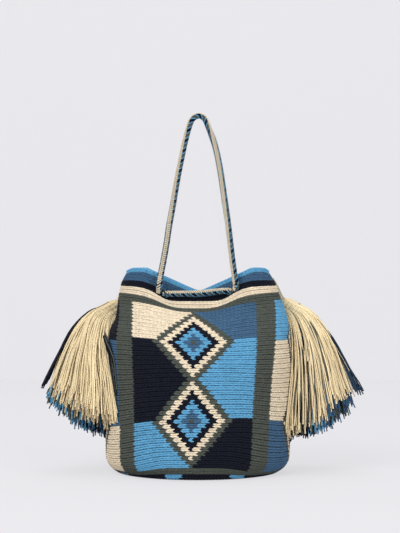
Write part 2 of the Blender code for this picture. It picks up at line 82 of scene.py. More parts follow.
# The pattern: panels of stepped diamonds and colour blocks, between green columns, under plain bands
PANEL_STITCHES = 39
PANEL_HALF = 16
PANEL_FIRST_ROW = 2
PANEL_ROWS = 39
DIAMOND_ROWS = (10, 28)
DIAMOND_STEPS = ((0, "green"), (2, "mid_blue"), (4, "light_blue"), (6, "navy"), (8, "cream"), (10, "green"))
BANDS = ((43, "green"), (45, "cream"), (47, "navy"), (50, "mid_blue"), (51, "light_blue"))
FRONT_BLOCKS = {"left": ("light_blue", "navy", "cream"), "right": ("navy", "light_blue", "mid_blue")}
SIDE_BLOCKS = {"left": ("mid_blue", "cream", "light_blue"), "right": ("cream", "mid_blue", "navy")}
BLOCK_ROWS = ((11, 29), (11, 28))

# The base's pattern: a wave of tapering marks on the outer rounds, and a star of them further in
BASE_MOTIFS = 8
BASE_PHASE = 0.87
WAVE_ROUNDS = 5
WAVE_SHARE = 0.25
WAVE_TAPER = 0.05
STAR_ROUNDS = (8, 14)
STAR_TAPER = 0.084

# The yarns: each colour as it is dyed
YARNS = {
    "cream": (0.690, 0.590, 0.440),
    "navy": (0.0030, 0.0042, 0.0112),
    "green": (0.067, 0.075, 0.062),
    "light_blue": (0.102, 0.312, 0.500),
    "mid_blue": (0.046, 0.106, 0.186),
}
TASSEL_CREAM = (0.745, 0.610, 0.378)

# How a yarn's shade varies, how its plies and fibres stand out, and the tint of its sheen
PLAIN_SHADE = 0.80
FIBRE_SHADE = 0.22
BLOTCH_SHADE = 0.16
PLY_SHADE = 0.07
PLIES = 2.0
PLY_LEAN = 5.5
PLY_RELIEF = 0.5
FIBRE_RELIEF = 0.9
FIBRE_NOISE = {"Scale": 1400.0, "Detail": 2.0, "Roughness": 0.7}
BLOTCH_NOISE = {"Scale": 70.0, "Detail": 3.0, "Roughness": 0.6}
SHEEN_GAIN = 1.2
SHEEN_LIFT = 0.06

# The stitches: two grains of yarn each, the upper one leaning one way and the lower one the other
GRAIN_LENGTH = 0.92
GRAIN_HEIGHT = 0.25
GRAIN_LIFT = 0.225
GRAIN_DEPTH = 0.0014
UPPER_LEAN = math.radians(4)
LOWER_LEAN = math.radians(-7)
STITCH_STAGGER = 0.12
GRAIN_TONE = 0.05
GRAIN_SIDES = 6
GRAIN_RINGS = 4
LEAN_CHANCE = 0.05
LIFT_CHANCE = 0.012
SIZE_CHANCE = 0.04
EYELET_CLEARANCE = 0.0006
RIM_LOOPS = ((0.12, 0.45), (0.88, -0.45))
RIM_LOOP_LENGTH = 0.66
RIM_LOOP_HALF = 0.0013
RIM_LOOP_LIFT = 0.0004
CORNER_ROUNDS = (0.84, 0.52, 0.20)
CORNER_STEP = 0.16
CORNER_SINK = 0.0002
BASE_ROUND = 0.0043
BASE_LIFT = 0.25
BASE_PROUD = 0.0004
BASE_FEWEST = 5

# The lining: its steps, the painted shade on it outside and inside, and its ribs
LINING_PER_STITCH = 2
LINING_PER_ROW = 4
LINING_CORNER = (0.0, 0.3, 0.6, 0.85)
LINING_FLOOR = (0.97, 0.75, 0.5, 0.25)
LINING_DEPTH = 0.0013
# Painted shade where the lining shows between the stitches: the share of the yarn's colour low on the wall,
# the share high on it, and the rows over which it rises
LOW_GAP_PAINTED_SHADE = 0.50
HIGH_GAP_PAINTED_SHADE = 0.86
GAP_PAINTED_SHADE_ROWS = (28, 40)
# Painted shade inside the bag, and darker painted shade in the valleys of its ribs
INSIDE_PAINTED_SHADE = 0.36
RIB_VALLEY_PAINTED_SHADE = 0.12
INSIDE_RIB = 0.0013
LOOP_SHARE = 0.3
FLOOR_HEIGHT = 0.0042
LINING_FUZZ = 0.1
YARN_FUZZ = 0.25

# The cords
CORD_DIAMETER = 0.0070
EYELET_ROW = 46.2
RUN_COLUMN = 8.4
LEG_COLUMN = 10.6
FRONT_SIDE_COLUMN = 39.5
BACK_SIDE_COLUMN = 48.0
BACK_RUN_COLUMN = 69.4
INSIDE_ROW = 40.5
RUN_SAG = 0.0010
CORD_STEP = 0.008
CORD_GAP = 0.0024
INSIDE_FIRST = 5
INSIDE_LAST = 4
INSIDE_SHARES = (0.1, 0.4, 0.7, 1.0)
RUN_PASSAGE = (1.5, 0.8)
RUN_TURN = 1.2
HANDLE_INWARD = 1.9
ROUTE_STEPS = 16
HANDLE_ROUTE = (
    (-0.0415, -0.0480, 0.2045),
    (-0.0400, -0.0465, 0.2140),
    (-0.0368, -0.0430, 0.2310),
    (-0.0335, -0.0400, 0.2500),
    (-0.0309, -0.0370, 0.2680),
    (-0.0270, -0.0330, 0.2900),
    (-0.0226, -0.0290, 0.3165),
    (-0.0182, -0.0250, 0.3400),
    (-0.0138, -0.0220, 0.3610),
    (-0.0096, -0.0200, 0.3770),
    (-0.0056, -0.0190, 0.3860),
    (0.0012, -0.0185, 0.3895),
    (0.0078, -0.0190, 0.3860),
    (0.0125, -0.0200, 0.3750),
    (0.0190, -0.0225, 0.3560),
    (0.0232, -0.0255, 0.3370),
    (0.0265, -0.0285, 0.3165),
    (0.0298, -0.0325, 0.2930),
    (0.0325, -0.0360, 0.2740),
    (0.0345, -0.0390, 0.2570),
    (0.0371, -0.0425, 0.2340),
    (0.0397, -0.0462, 0.2150),
    (0.0412, -0.0480, 0.2050),
)

# The braid: columns of plaits round a core, two of them cream and the others in slanting bands of colour.
# A weave is the plaits' pitch, their slant and their half sizes
PLAIT_COLUMNS = 8
CREAM_COLUMNS = 2
PLAIT_STEP = 0.0010
PLAIT_RADIUS = 0.0026
CREAM_WEAVE = (0.0023, math.radians(50), (0.0016, 0.00074, 0.0009))
BAND_WEAVE = (0.00142, math.radians(48), (0.0016, 0.00078, 0.0009))
BAND_RISE = 0.0019
BRAID_BANDS = (("navy", 0.0042), ("light_blue", 0.0016), ("green", 0.0040), ("light_blue", 0.0016))
# The core: dark green yarn, which shows in the gaps between the plaits as painted shade
CORE_RADIUS = 0.0026
CORE_SIDES = 10
CORE_GAP_SHADE_YARN = "green"

# Where the handle's cream columns face: 0 is away from the loop's inside, 90 is forward
HANDLE_TURN = ((0, 68), (0.10, 68), (0.19, 74), (0.26, 48), (0.32, 39), (0.43, 27), (0.50, -8), (0.55, 27),
               (0.58, 72), (0.62, 93), (0.68, 97), (0.81, 126), (0.87, 139), (1, 140))
STRING_CREAM = (0.0, -0.60, 0.80)

# The stopper knots
KNOT_SHARE = 0.6
KNOT_TURNS = 2
KNOT_POINTS = 44
KNOT_YARN = 0.0016
KNOT_REACH = 0.0018
KNOT_RISE = 0.0022
KNOT_SIDES = 8

# The tassels. Out is a strand's share from the wall outwards, deep its share from front to back
TASSEL_SEED = {-1: 7, 1: 8}
NECK_Y = 0.0160
NECK_HEIGHT = {-1: 0.1780, 1: 0.1790}
NECK_TILT = math.radians(62)
NECK_TURN = math.radians(25)
NECK_RADIUS = 0.0068
NECK_CLEARANCE = 0.0010
YARN_NECK_DROP = {-1: 0.0012, 1: 0.0}
YARN_NECK_RADIUS = {-1: 0.0056, 1: 0.0066}
BINDING_LENGTH = 0.0090
BINDING_THICKNESS = 0.0016
BINDING_CLEARANCE = 0.0004
BINDING_COVER = 0.9
WRAP_TURNS = 7
WRAP_POINTS = 20
WRAP_SIDES = 7
DOME_RISE = 0.0070
DOME_TURNS = (0, 30, 60)
INNER_START = math.radians(0)
INNER_END = {-1: math.radians(-14), 1: math.radians(-9)}
INNER_EASE = 0.060
INNER_TUCK = 0.004
OUTER_START = math.radians(95)
OUTER_END = math.radians(23)
OUTER_EASE = 0.021
FRONT_SPREAD = {-1: 0.088, 1: 0.052}
BACK_SPREAD = {-1: 0.044, 1: 0.048}
SPREAD_EASE = 0.052
SPREAD_LIMIT = 0.9
WALL_CLEARANCE = 0.0008
LAYER_CLEARANCE = 0.0140
WALL_REACH = 0.0018
WALL_SHARE = 0.95
WALL_KNOTS = 80

# The strands of the tassels, and how each one strays from its place
YARN_STEPS = 48
STRAND_RADIUS = 0.00072
STRAND_SIDES = 5
STRAND_POINTS = 16
STRAND_SPACING = 1.15
STRAND_TONE = 0.10
PLY_TURNS = 228
DRIFT = 0.0022
STRAY = 0.0100
STRAY_SHARE = {-1: 0.05, 1: 0.20}
STRAND_WAVES = ((0.0010, 3.0), (0.0005, 14.0))
WAVE_PHASE = 6
WANDER = {-1: 0.5, 1: 1.1}
UNDER_WANDER = 0.7
EDGE_WANDER = 0.3
LOOSE_GROWTH = 3
LOOSE_LAG = 0.3
END_CHANCE = 0.05

# The cream strands. Each part has its share of them, 1 if it starts over the binding, and its depth back
CREAM_STRANDS = {-1: 560, 1: 440}
CREAM_PARTS = ((0.7, 1, 1.3), (0.3, 0, 0.9))
CREAM_LENGTH = 0.148
CREAM_TRIM = 0.10
CREAM_TRIM_POWER = 6
CREAM_BACK_TRIM = 0.14
CREAM_DEEP_POWER = 1.5
CREAM_TO = {-1: 0.95, 1: 0.87}
CREAM_EDGE = 0.94
CREAM_EVENNESS = {-1: 1.0, 1: 0.7}
CREAM_SHIFT = 0.12
CREAM_NOTCH = {-1: 0.0, 1: 0.09}
NOTCH_MIDDLE = 0.72
NOTCH_WIDTH = 0.16
WALL_PART = 8
WALL_PULL = 0.1

# The coloured strands: each yarn's least and greatest out, and how many of it lie right in front; on the
# left that many hang beside the wall instead, as painted shade
UNDER_YARNS = {
    -1: (("mid_blue", 0.0, 0.42, 0), ("light_blue", 0.22, 0.90, 0), ("green", 0.42, 0.90, 6),
         ("navy", 0.0, 0.36, 22)),
    1: (("navy", 0.0, 0.30, 3), ("green", 0.10, 0.66, 4), ("light_blue", 0.16, 0.46, 0),
        ("mid_blue", 0.34, 0.76, 3)),
}
UNDER_STRANDS = 140
UNDER_LENGTH = {-1: 0.144, 1: 0.147}
UNDER_TRIM = 0.14
UNDER_TRIM_POWER = 1.5
UNDER_CHANCE = 0.018
UNDER_FRONT = {-1: -0.5, 1: -0.8}
FRONT_DEEP = -1.02

# The dark strands that hang beside the left wall as painted shade where the tassel shades it, and the bundle
# at a tassel's outer edge
BESIDE_WALL = (-0.0590, -0.0480)
BESIDE_OUT = (0, 0.03)
BESIDE_DEEP = (-1.38, -1.12)
BESIDE_LENGTH = (0.82, 0.95)
BESIDE_EASE = 0.003
BESIDE_START = 0.58
EDGE_STRANDS = {-1: 10, 1: 16}
EDGE_OUT = {-1: (0.98, 0.995), 1: (0.77, 0.80)}
EDGE_DEEP = {-1: (-0.15, 0.15), 1: (-0.7, -0.1)}
EDGE_KICK = {-1: 0.003, 1: 0.0115}
EDGE_KICKS = (0.6, 1.2)
EDGE_HEAD = {-1: 0.6, 1: 0.0}
EDGE_TONE = {-1: 0.0, 1: -0.6}

# The stage: each lamp has a place, a power and a size
BACKGROUND = (0.787, 0.780, 0.806)
GLOW_SHARE = 0.8
SKY = (0.95, 0.97, 1.0)
SKY_STRENGTH = 0.45
CAMERA_PLACE = (0.0025, -2.0, 0.225)
CAMERA_LENS = 163.6
LAMPS = {
    "key": ((-1.3, -2.2, 1.9), 62, 1.6),
    "fill": ((1.7, -1.9, 0.9), 30, 1.8),
    "top": ((0.0, 0.3, 2.4), 18, 1.6),
}
LAMPS_FACE = (0, 0, 0.15)
STAGE_WIDE = 4.0
STAGE_BACK = 1.6
STAGE_TALL = 4.0


def along(knots, row):
    """A smooth curve through knots of row and size, with no overshoot between them."""
    rows = np.array([knot[0] for knot in knots], dtype=float)
    sizes = np.array([knot[1] for knot in knots], dtype=float)
    row = np.clip(np.asarray(row, dtype=float), rows[0], rows[-1])
    steps = np.diff(rows)
    slopes = np.diff(sizes) / steps
    tangents = np.concatenate([slopes[:1], np.zeros(len(rows) - 2), slopes[-1:]])
    for k in range(1, len(rows) - 1):
        if slopes[k - 1] * slopes[k] > 0:
            first = 2 * steps[k] + steps[k - 1]
            second = steps[k] + 2 * steps[k - 1]
            tangents[k] = (first + second) / (first / slopes[k - 1] + second / slopes[k])
    spot = np.clip(np.searchsorted(rows, row, side="right") - 1, 0, len(rows) - 2)
    span = steps[spot]
    t = (row - rows[spot]) / span
    start = sizes[spot] * (1 + 2 * t) * (1 - t) ** 2 + tangents[spot] * span * t * (1 - t) ** 2
    finish = sizes[spot + 1] * t * t * (3 - 2 * t) - tangents[spot + 1] * span * t * t * (1 - t)
    return start + finish


def length(vectors):
    return np.linalg.norm(vectors, axis=-1)


def stacked(*parts):
    """Rows that hold one value from each part, whether it is an array or a single number."""
    return np.stack(np.broadcast_arrays(*parts), axis=-1)


def travelled(line):
    """How far along a line each of its points lies."""
    return np.concatenate([[0], np.cumsum(length(np.diff(line, axis=0)))])


def between(places, travel, rows):
    """The rows' values at places along a line, where travel says how far along it each row lies."""
    return stacked(*(np.interp(places, travel, values) for values in rows.T))


def smooth(share):
    """A step from 0 to 1 with level ends."""
    share = np.clip(share, 0, 1)
    return share * share * (3 - 2 * share)


def corner(height):
    """The radius of the rounded lower corner at a height above the floor."""
    below = np.clip(CORNER_RADIUS - height, 0, CORNER_RADIUS)
    return BASE_RADIUS + np.sqrt(CORNER_RADIUS ** 2 - below ** 2)


def dipped(row, aside):
    """How far the wall is drawn down at a distance from the dip's middle: flat below, a V at the rim."""
    flat = 1 / (1 + (aside / along(DIP_WIDTH, row)) ** along(DIP_EDGE, row))
    rounded = np.hypot(aside, RIM_DIP_ROUNDING) - RIM_DIP_ROUNDING
    straight = np.clip(1 - rounded / RIM_DIP_REACH, 0, 1)
    share = np.clip((row - RIM_DIP_ROW) / (WALL_ROWS - RIM_DIP_ROW), 0, 1)
    return flat * (1 - share) + straight * share


def plan(row, turn):
    """The wall's line at a row, at turns from the middle of the front round to the viewer's right."""
    sine, cosine = np.sin(turn), np.cos(turn)
    power = 2 / along(SQUARENESS, row)
    width = np.where(sine > 0, along(RIGHT_WIDTH, row), along(LEFT_WIDTH, row))
    depth = np.where(cosine > 0, along(FRONT_DEPTH, row), along(BACK_DEPTH, row))
    x = width * np.sign(sine) * np.abs(sine) ** power
    y = -depth * np.sign(cosine) * np.abs(cosine) ** power
    dip = dipped(row, np.abs(x - along(DIP_MIDDLE, row)))
    side = along(SIDE_HEIGHT, row)
    z = side + (along(CENTRE_HEIGHT, row) - side) * dip
    low_left = smooth(-x / BELLY_RADIUS) * min(row / BELLY_ROW, 1)
    z = z - LEFT_SLUMP * low_left * np.exp(-((row - BELLY_ROW) / SLUMP_ROWS) ** 2)
    y = y * (1 - along(PINCH, row) * dip / depth)
    if row < BELLY_ROW:
        keep = (row / BELLY_ROW) ** 2
        low = corner(z) + CORNER_FLARE * np.clip(z / along(SIDE_HEIGHT, BELLY_ROW), 0, 1)
        radius = low * (1 - keep) + np.hypot(x, y) * keep
        x, y = radius * sine, -radius * cosine
    return stacked(x, y, z)


def gathered(turn):
    """Where the spare width is gathered: 0 at the front, 1 at the back."""
    return smooth((np.abs(turn) - GATHER_START) / (GATHER_END - GATHER_START))


def turn_of(column):
    """The turn at which a column starts out, from the middle of the front round to the viewer's right."""
    return (np.asarray(column, dtype=float) / ROUND_STITCHES + 0.5) % 1.0 * 2 * math.pi - math.pi


def wall(row, column):
    """Points on the wall at a row, at an array of columns."""
    turns = np.linspace(-math.pi, math.pi, WALL_SAMPLES + 1)
    line = plan(row, turns)
    travel = travelled(line)
    middles = gathered((turns[1:] + turns[:-1]) / 2)
    drawn = np.clip((row - DRAWN_FROM_ROW) / (DRAWN_BY_ROW - DRAWN_FROM_ROW), 0, 1)
    spare = drawn * (1 - travel[-1] / (2 * math.pi * BELLY_RADIUS)) / middles.mean()
    shares = np.concatenate([[0], np.cumsum(1 - spare * middles)])
    shares = shares / shares[-1]
    offset = np.interp(turn_of(column), turns, shares) - np.interp(0, turns, shares)
    place = (np.interp(0, turns, travel) + offset * travel[-1]) % travel[-1]
    return between(place, travel, line)


def unit(vectors):
    return vectors / np.linalg.norm(vectors, axis=-1, keepdims=True)


def outward(row, column, step=0.25):
    """The wall's outward direction at a row, at an array of columns."""
    low, high = max(row - step, 0), min(row + step, WALL_ROWS)
    up = wall(high, column) - wall(low, column)
    across = wall(row, column + step) - wall(row, column - step)
    return unit(np.cross(across, up))


def gathers(row, column):
    """How far the soft gathers lift the wall outwards."""
    turn = turn_of(column)
    rise = smooth((row - DRAWN_FROM_ROW) / (WALL_ROWS - DRAWN_FROM_ROW))
    return GATHER_DEPTH * rise * gathered(turn) * np.cos(turn * GATHER_COUNT)


def draped(row, column, offset=0.0):
    """The wall moved outwards by an offset, with its soft gathers."""
    column = np.atleast_1d(np.asarray(column, dtype=float))
    return wall(row, column) + outward(row, column) * (offset + gathers(row, column))[:, None]


def cloth(row, column, offset=0.0):
    """The finished wall: the draped one, with gathers calmed at the rim and the rim's ends rounded off."""
    calm = smooth((row - CALM_FROM_ROW) / (WALL_ROWS - 1 - CALM_FROM_ROW))
    place = draped(row, column, offset - calm * gathers(row, column))
    rounded = smooth((np.abs(place[:, 0]) - RIM_SHOULDER) / (along(LEFT_WIDTH, row) - RIM_SHOULDER))
    place[:, 2] -= RIM_ROUNDING * rounded ** 2 * smooth((row - RIM_DIP_ROW) / (WALL_ROWS - RIM_DIP_ROW))
    return place


def pattern_shift(row):
    """How many stitches the pattern's middle stands off the front's middle at a row."""
    return along(PATTERN_SLANT, row) / 360 * ROUND_STITCHES


def wall_yarn(row, stitch):
    """The yarn of a stitch of the wall: row 0 is the lowest, stitch 0 the middle of the front's pattern."""
    if row < PANEL_FIRST_ROW:
        return "green"
    if row >= PANEL_FIRST_ROW + PANEL_ROWS:
        return next(yarn for last, yarn in BANDS if row < last)
    panel = math.floor((stitch + PANEL_STITCHES / 2) / PANEL_STITCHES)
    across = stitch - panel * PANEL_STITCHES
    if abs(across) > PANEL_HALF:
        return "green"
    height = row - PANEL_FIRST_ROW
    distance = abs(across) + min(abs(height - middle) for middle in DIAMOND_ROWS)
    for reach, yarn in DIAMOND_STEPS:
        if distance <= reach:
            return yarn
    blocks = SIDE_BLOCKS if panel % 2 else FRONT_BLOCKS
    level = sum(height >= start for start in BLOCK_ROWS[panel % 2])
    return blocks["left" if across < 0 else "right"][level]


def base_yarn(ring, share):
    """The yarn of the base at a round counted inwards from the wall, at a share of a turn."""
    place = abs((share * BASE_MOTIFS + BASE_PHASE) % 1 - 0.5) * 2
    first, last = STAR_ROUNDS
    wave = ring < WAVE_ROUNDS and place < WAVE_SHARE - WAVE_TAPER * ring
    star = first <= ring < last and place > 1 - STAR_TAPER * (last - ring)
    return "light_blue" if wave or star else "navy"


class Wire:
    """A socket in a node tree. Python's operators on it add Math nodes."""

    def __init__(self, recipe, socket):
        self.recipe = recipe
        self.socket = socket

    def __add__(self, other):
        return self.recipe.math("ADD", self, other)

    def __radd__(self, other):
        return self.recipe.math("ADD", other, self)

    def __mul__(self, other):
        return self.recipe.math("MULTIPLY", self, other)


class Recipe:
    """Writes one node tree, for a material, the world or geometry."""

    def __init__(self, tree):
        self.tree = tree
        tree.nodes.clear()

    def node(self, kind, *terms, settings=None, output=0, **values):
        """A new node, with its inputs in order or by name, where _ stands for a space. It gives the output's
        wire, or a list of wires from several outputs."""
        made = self.tree.nodes.new(kind)
        for name, value in (settings or {}).items():
            setattr(made, name, value)
        sockets = [socket for socket in made.inputs if socket.enabled]
        sockets = {**dict(enumerate(sockets)), **{socket.name: socket for socket in sockets}}
        for name, value in {**dict(enumerate(terms)), **values}.items():
            socket = sockets[name.replace("_", " ") if name in values else name]
            if isinstance(value, Wire):
                self.tree.links.new(value.socket, socket)
            else:
                socket.default_value = value
        if isinstance(output, tuple):
            return [Wire(self, made.outputs[name]) for name in output]
        return Wire(self, made.outputs[output])

    def math(self, operation, *terms):
        return self.node("ShaderNodeMath", *terms, settings={"operation": operation})

    def attribute(self, name, output):
        """What a shader reads under a name."""
        return self.node("ShaderNodeAttribute", settings={"attribute_name": name}, output=output)

    def carried(self, name, kind="FLOAT_VECTOR"):
        """The value that the geometry carries under a name."""
        return self.node("GeometryNodeInputNamedAttribute", Name=name, settings={"data_type": kind})

    def stored(self, geometry, name, value, kind="FLOAT_VECTOR"):
        """The geometry with a value stored under a name at each point."""
        return self.node("GeometryNodeStoreNamedAttribute", geometry, Name=name, Value=value,
                         settings={"data_type": kind, "domain": "POINT"})

    def end(self, kind, wire):
        """The tree's output node."""
        self.tree.links.new(wire.socket, self.tree.nodes.new(kind).inputs[0])


def new_material(name):
    material = bpy.data.materials.new(name)
    material.use_nodes = True
    return material, Recipe(material.node_tree)


def yarn_material(name, colour=None, fuzz=YARN_FUZZ):
    """Cotton yarn: its colour, or the mesh's own colour with the painted shade it carries, with twisting
    plies and loose fibres.
    """
    material, recipe = new_material(name)
    place = recipe.node("ShaderNodeTexCoord", output="Object")
    fibres, blotches = (recipe.node("ShaderNodeTexNoise", Vector=place, **noise)
                        for noise in (FIBRE_NOISE, BLOTCH_NOISE))
    x, y, gone = recipe.node("ShaderNodeSeparateXYZ", recipe.attribute("twist", "Vector"), output=(0, 1, 2))
    plies = recipe.math("SINE", recipe.math("ARCTAN2", x, y) * PLIES + gone * PLY_LEAN)
    shade = PLAIN_SHADE + fibres * FIBRE_SHADE + blotches * BLOTCH_SHADE + plies * PLY_SHADE
    shade = shade + recipe.attribute("tone", "Fac")
    grey = recipe.node("ShaderNodeCombineColor", shade, shade, shade)
    looks = {"Roughness": 0.92, "Specular IOR Level": 0.18, "Sheen Weight": fuzz, "Sheen Roughness": 0.5}
    # The mesh's own colour is the yarn's colour darkened with painted shade, as on the lining
    if colour is None:
        dyed = recipe.attribute("yarn_colour", "Color")
    else:
        dyed = (*colour, 1)
        looks["Sheen Tint"] = (*[min(1.0, part * SHEEN_GAIN + SHEEN_LIFT) for part in colour], 1)
    tinted = recipe.node("ShaderNodeMix", 1.0, dyed, grey, output=2,
                         settings={"data_type": "RGBA", "blend_type": "MULTIPLY"})
    relief = plies * PLY_RELIEF + fibres * FIBRE_RELIEF
    bump = recipe.node("ShaderNodeBump", Strength=0.6, Distance=0.0003, Height=relief)
    shader = recipe.node("ShaderNodeBsdfPrincipled", Base_Color=tinted, Normal=bump, **looks)
    recipe.end("ShaderNodeOutputMaterial", shader)
    return material


def new_tree(name, inputs):
    """A geometry tree with named inputs, its recipe and the inputs' wires."""
    tree = bpy.data.node_groups.new(name, "GeometryNodeTree")
    tree.interface.new_socket("Geometry", in_out="INPUT", socket_type="NodeSocketGeometry")
    for label, kind in inputs.items():
        tree.interface.new_socket(label, in_out="INPUT", socket_type=f"NodeSocket{kind}")
    tree.interface.new_socket("Geometry", in_out="OUTPUT", socket_type="NodeSocketGeometry")
    recipe = Recipe(tree)
    entry = tree.nodes.new("NodeGroupInput")
    return tree, recipe, {socket.name: Wire(recipe, socket) for socket in entry.outputs if socket.name}


def close_tree(recipe, geometry, yarn):
    """Ends a tree: real faces, in one yarn."""
    real = recipe.node("GeometryNodeRealizeInstances", geometry)
    dressed = recipe.node("GeometryNodeSetMaterial", real, Material=yarn)
    recipe.end("NodeGroupOutput", recipe.node("GeometryNodeSetShadeSmooth", dressed))


def grain_tree():
    """Grains of yarn: one plump grain at each point, turned by the point's own directions."""
    tree, recipe, entry = new_tree("yarn_grains", {"Sides": "Int", "Rings": "Int", "Yarn": "Material"})
    ball = recipe.node("GeometryNodeMeshUVSphere", entry["Sides"], entry["Rings"], 1.0)
    marked = recipe.stored(ball, "twist", recipe.node("GeometryNodeInputPosition"))
    grain = recipe.node("GeometryNodeTransform", marked, Rotation=(0, math.pi / 2, 0))
    turned = recipe.node("FunctionNodeAxesToRotation", recipe.carried("out"), recipe.carried("run"),
                         settings={"primary_axis": "Z", "secondary_axis": "X"})
    placed = recipe.node("GeometryNodeInstanceOnPoints", Points=entry["Geometry"], Instance=grain,
                         Rotation=turned, Scale=recipe.carried("size"))
    close_tree(recipe, placed, entry["Yarn"])
    return tree


def strand_tree():
    """Strands of yarn: a round tube along each line of edges, marked with the way its plies turn."""
    tree, recipe, entry = new_tree("yarn_strands", {"Radius": "Float", "Sides": "Int", "Yarn": "Material"})
    line = recipe.node("GeometryNodeMeshToCurve", entry["Geometry"])
    travel = recipe.node("GeometryNodeSplineParameter", output="Length")
    marked = recipe.stored(line, "travel", travel * float(PLY_TURNS), "FLOAT")
    ring = recipe.node("GeometryNodeCurvePrimitiveCircle", Resolution=entry["Sides"], Radius=entry["Radius"],
                       settings={"mode": "RADIUS"})
    around = recipe.stored(ring, "around", recipe.node("GeometryNodeInputPosition"))
    tube = recipe.node("GeometryNodeCurveToMesh", Curve=marked, Profile_Curve=around, Fill_Caps=True)
    x, y = recipe.node("ShaderNodeSeparateXYZ", recipe.carried("around"), output=(0, 1))
    twist = recipe.node("ShaderNodeCombineXYZ", x, y, recipe.carried("travel", "FLOAT"))
    close_tree(recipe, recipe.stored(tube, "twist", twist), entry["Yarn"])
    return tree


def grown(name, mesh, tree, values):
    """A plain mesh from a tree run on a mesh, with the tree's named inputs set."""
    seed = bpy.data.objects.new(name, mesh)
    bpy.context.scene.collection.objects.link(seed)
    modifier = seed.modifiers.new("grown", "NODES")
    modifier.node_group = tree
    sockets = {item.name: item.identifier for item in tree.interface.items_tree if item.in_out == "INPUT"}
    for label, value in values.items():
        modifier[sockets[label]] = value
    bpy.context.view_layer.update()
    evaluated = seed.evaluated_get(bpy.context.evaluated_depsgraph_get())
    result = bpy.data.meshes.new_from_object(evaluated)
    bpy.data.objects.remove(seed, do_unlink=True)
    for label in ("out", "run", "size", "around", "travel"):
        if label in result.attributes:
            result.attributes.remove(result.attributes[label])
    return result


def carry(mesh, label, values):
    """Stores a number or a direction for each point of a mesh."""
    values = np.asarray(values, dtype=np.float32)
    kind, key = ("FLOAT", "value") if values.ndim == 1 else ("FLOAT_VECTOR", "vector")
    mesh.attributes.new(label, kind, "POINT").data.foreach_set(key, values.ravel())


def grains(name, rows, yarn):
    """Grains of one yarn. Each row is a place, the way it faces, the way it lies, and its half sizes."""
    places, out, run, sizes = (np.array(values) for values in zip(*rows))
    points = bpy.data.meshes.new(name)
    points.from_pydata([tuple(place) for place in places], [], [])
    for label, values in (("out", out), ("run", run), ("size", sizes)):
        carry(points, label, values)
    carry(points, "tone", np.random.default_rng(len(places)).normal(0, GRAIN_TONE, len(places)))
    inputs = {"Sides": GRAIN_SIDES, "Rings": GRAIN_RINGS, "Yarn": YARN_MATERIALS[yarn]}
    return grown(name, points, GRAINS, inputs)


def strands(name, lines, radius, yarn, tones=None, sides=STRAND_SIDES):
    """Round yarns along lines of points, each with its own tone."""
    mesh = bpy.data.meshes.new(name)
    places, edges, shades = [], [], []
    for k, line in enumerate(lines):
        first = len(places)
        places += [tuple(point) for point in line]
        edges += [(k, k + 1) for k in range(first, len(places) - 1)]
        shades += [0.0 if tones is None else tones[k]] * len(line)
    mesh.from_pydata(places, edges, [])
    carry(mesh, "tone", shades)
    return grown(name, mesh, STRANDS, {"Radius": radius, "Sides": sides, "Yarn": YARN_MATERIALS[yarn]})


def joined(name, meshes):
    """One mesh from several, with their materials."""
    whole = bmesh.new()
    materials = []
    for mesh in meshes:
        start = len(whole.faces)
        whole.from_mesh(mesh)
        whole.faces.ensure_lookup_table()
        for face in whole.faces[start:]:
            face.material_index += len(materials)
        materials += list(mesh.materials)
    result = bpy.data.meshes.new(name)
    whole.to_mesh(result)
    whole.free()
    for material in materials:
        result.materials.append(material)
    return result


def piece(name, meshes, nodes):
    """One finished piece from meshes, which rides on the bag and stands for CAD nodes."""
    meshes[0].name = name
    thing = bpy.data.objects.new(name, meshes[0] if len(meshes) == 1 else joined(name, meshes))
    bpy.context.scene.collection.objects.link(thing)
    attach(thing, "root")
    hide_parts(*nodes)
    return thing


def smooth_route(points, step=CORD_STEP):
    """Points at even steps along a smooth curve through a route's own points."""
    points = np.array(points, dtype=float)
    padded = np.vstack([2 * points[0] - points[1], points, 2 * points[-1] - points[-2]])
    fine = []
    for k in range(1, len(padded) - 2):
        before, start, end, after = padded[k - 1:k + 3]
        for t in np.linspace(0, 1, ROUTE_STEPS, endpoint=False):
            bend = (2 * before - 5 * start + 4 * end - after) * t ** 2
            turn = (3 * start - before - 3 * end + after) * t ** 3
            fine.append((2 * start + (end - before) * t + bend + turn) / 2)
    fine = np.vstack([fine, points[-1]])
    travel = travelled(fine)
    count = max(int(round(travel[-1] / step)), 4)
    return between(np.linspace(0, travel[-1], count + 1), travel, fine)


def passage(column, straight=False):
    """Where a cord's middle passes the wall, and the outward direction, kept square to X if straight."""
    place = draped(EYELET_ROW, column, -WALL_THICKNESS / 2)[0]
    direction = outward(EYELET_ROW, np.array([column]))[0]
    if straight:
        direction[0] = 0
    return place, unit(direction)


def through(place, direction, distances):
    """Points on the straight line through the wall at an eyelet."""
    return [place + direction * distance for distance in distances]


def side_wall(side, height, y):
    """How far out the bag's side reaches at heights and depths."""
    rows = np.linspace(BELLY_ROW, WALL_ROWS, WALL_KNOTS)
    row = np.interp(height, along(SIDE_HEIGHT, rows), rows)
    width = along(LEFT_WIDTH if side < 0 else RIGHT_WIDTH, row)
    depth = np.where(np.asarray(y) < 0, along(FRONT_DEPTH, row), along(BACK_DEPTH, row))
    power = along(SQUARENESS, row)
    return width * (1 - np.clip(np.abs(y) / depth, 0, WALL_SHARE) ** power) ** (1 / power)


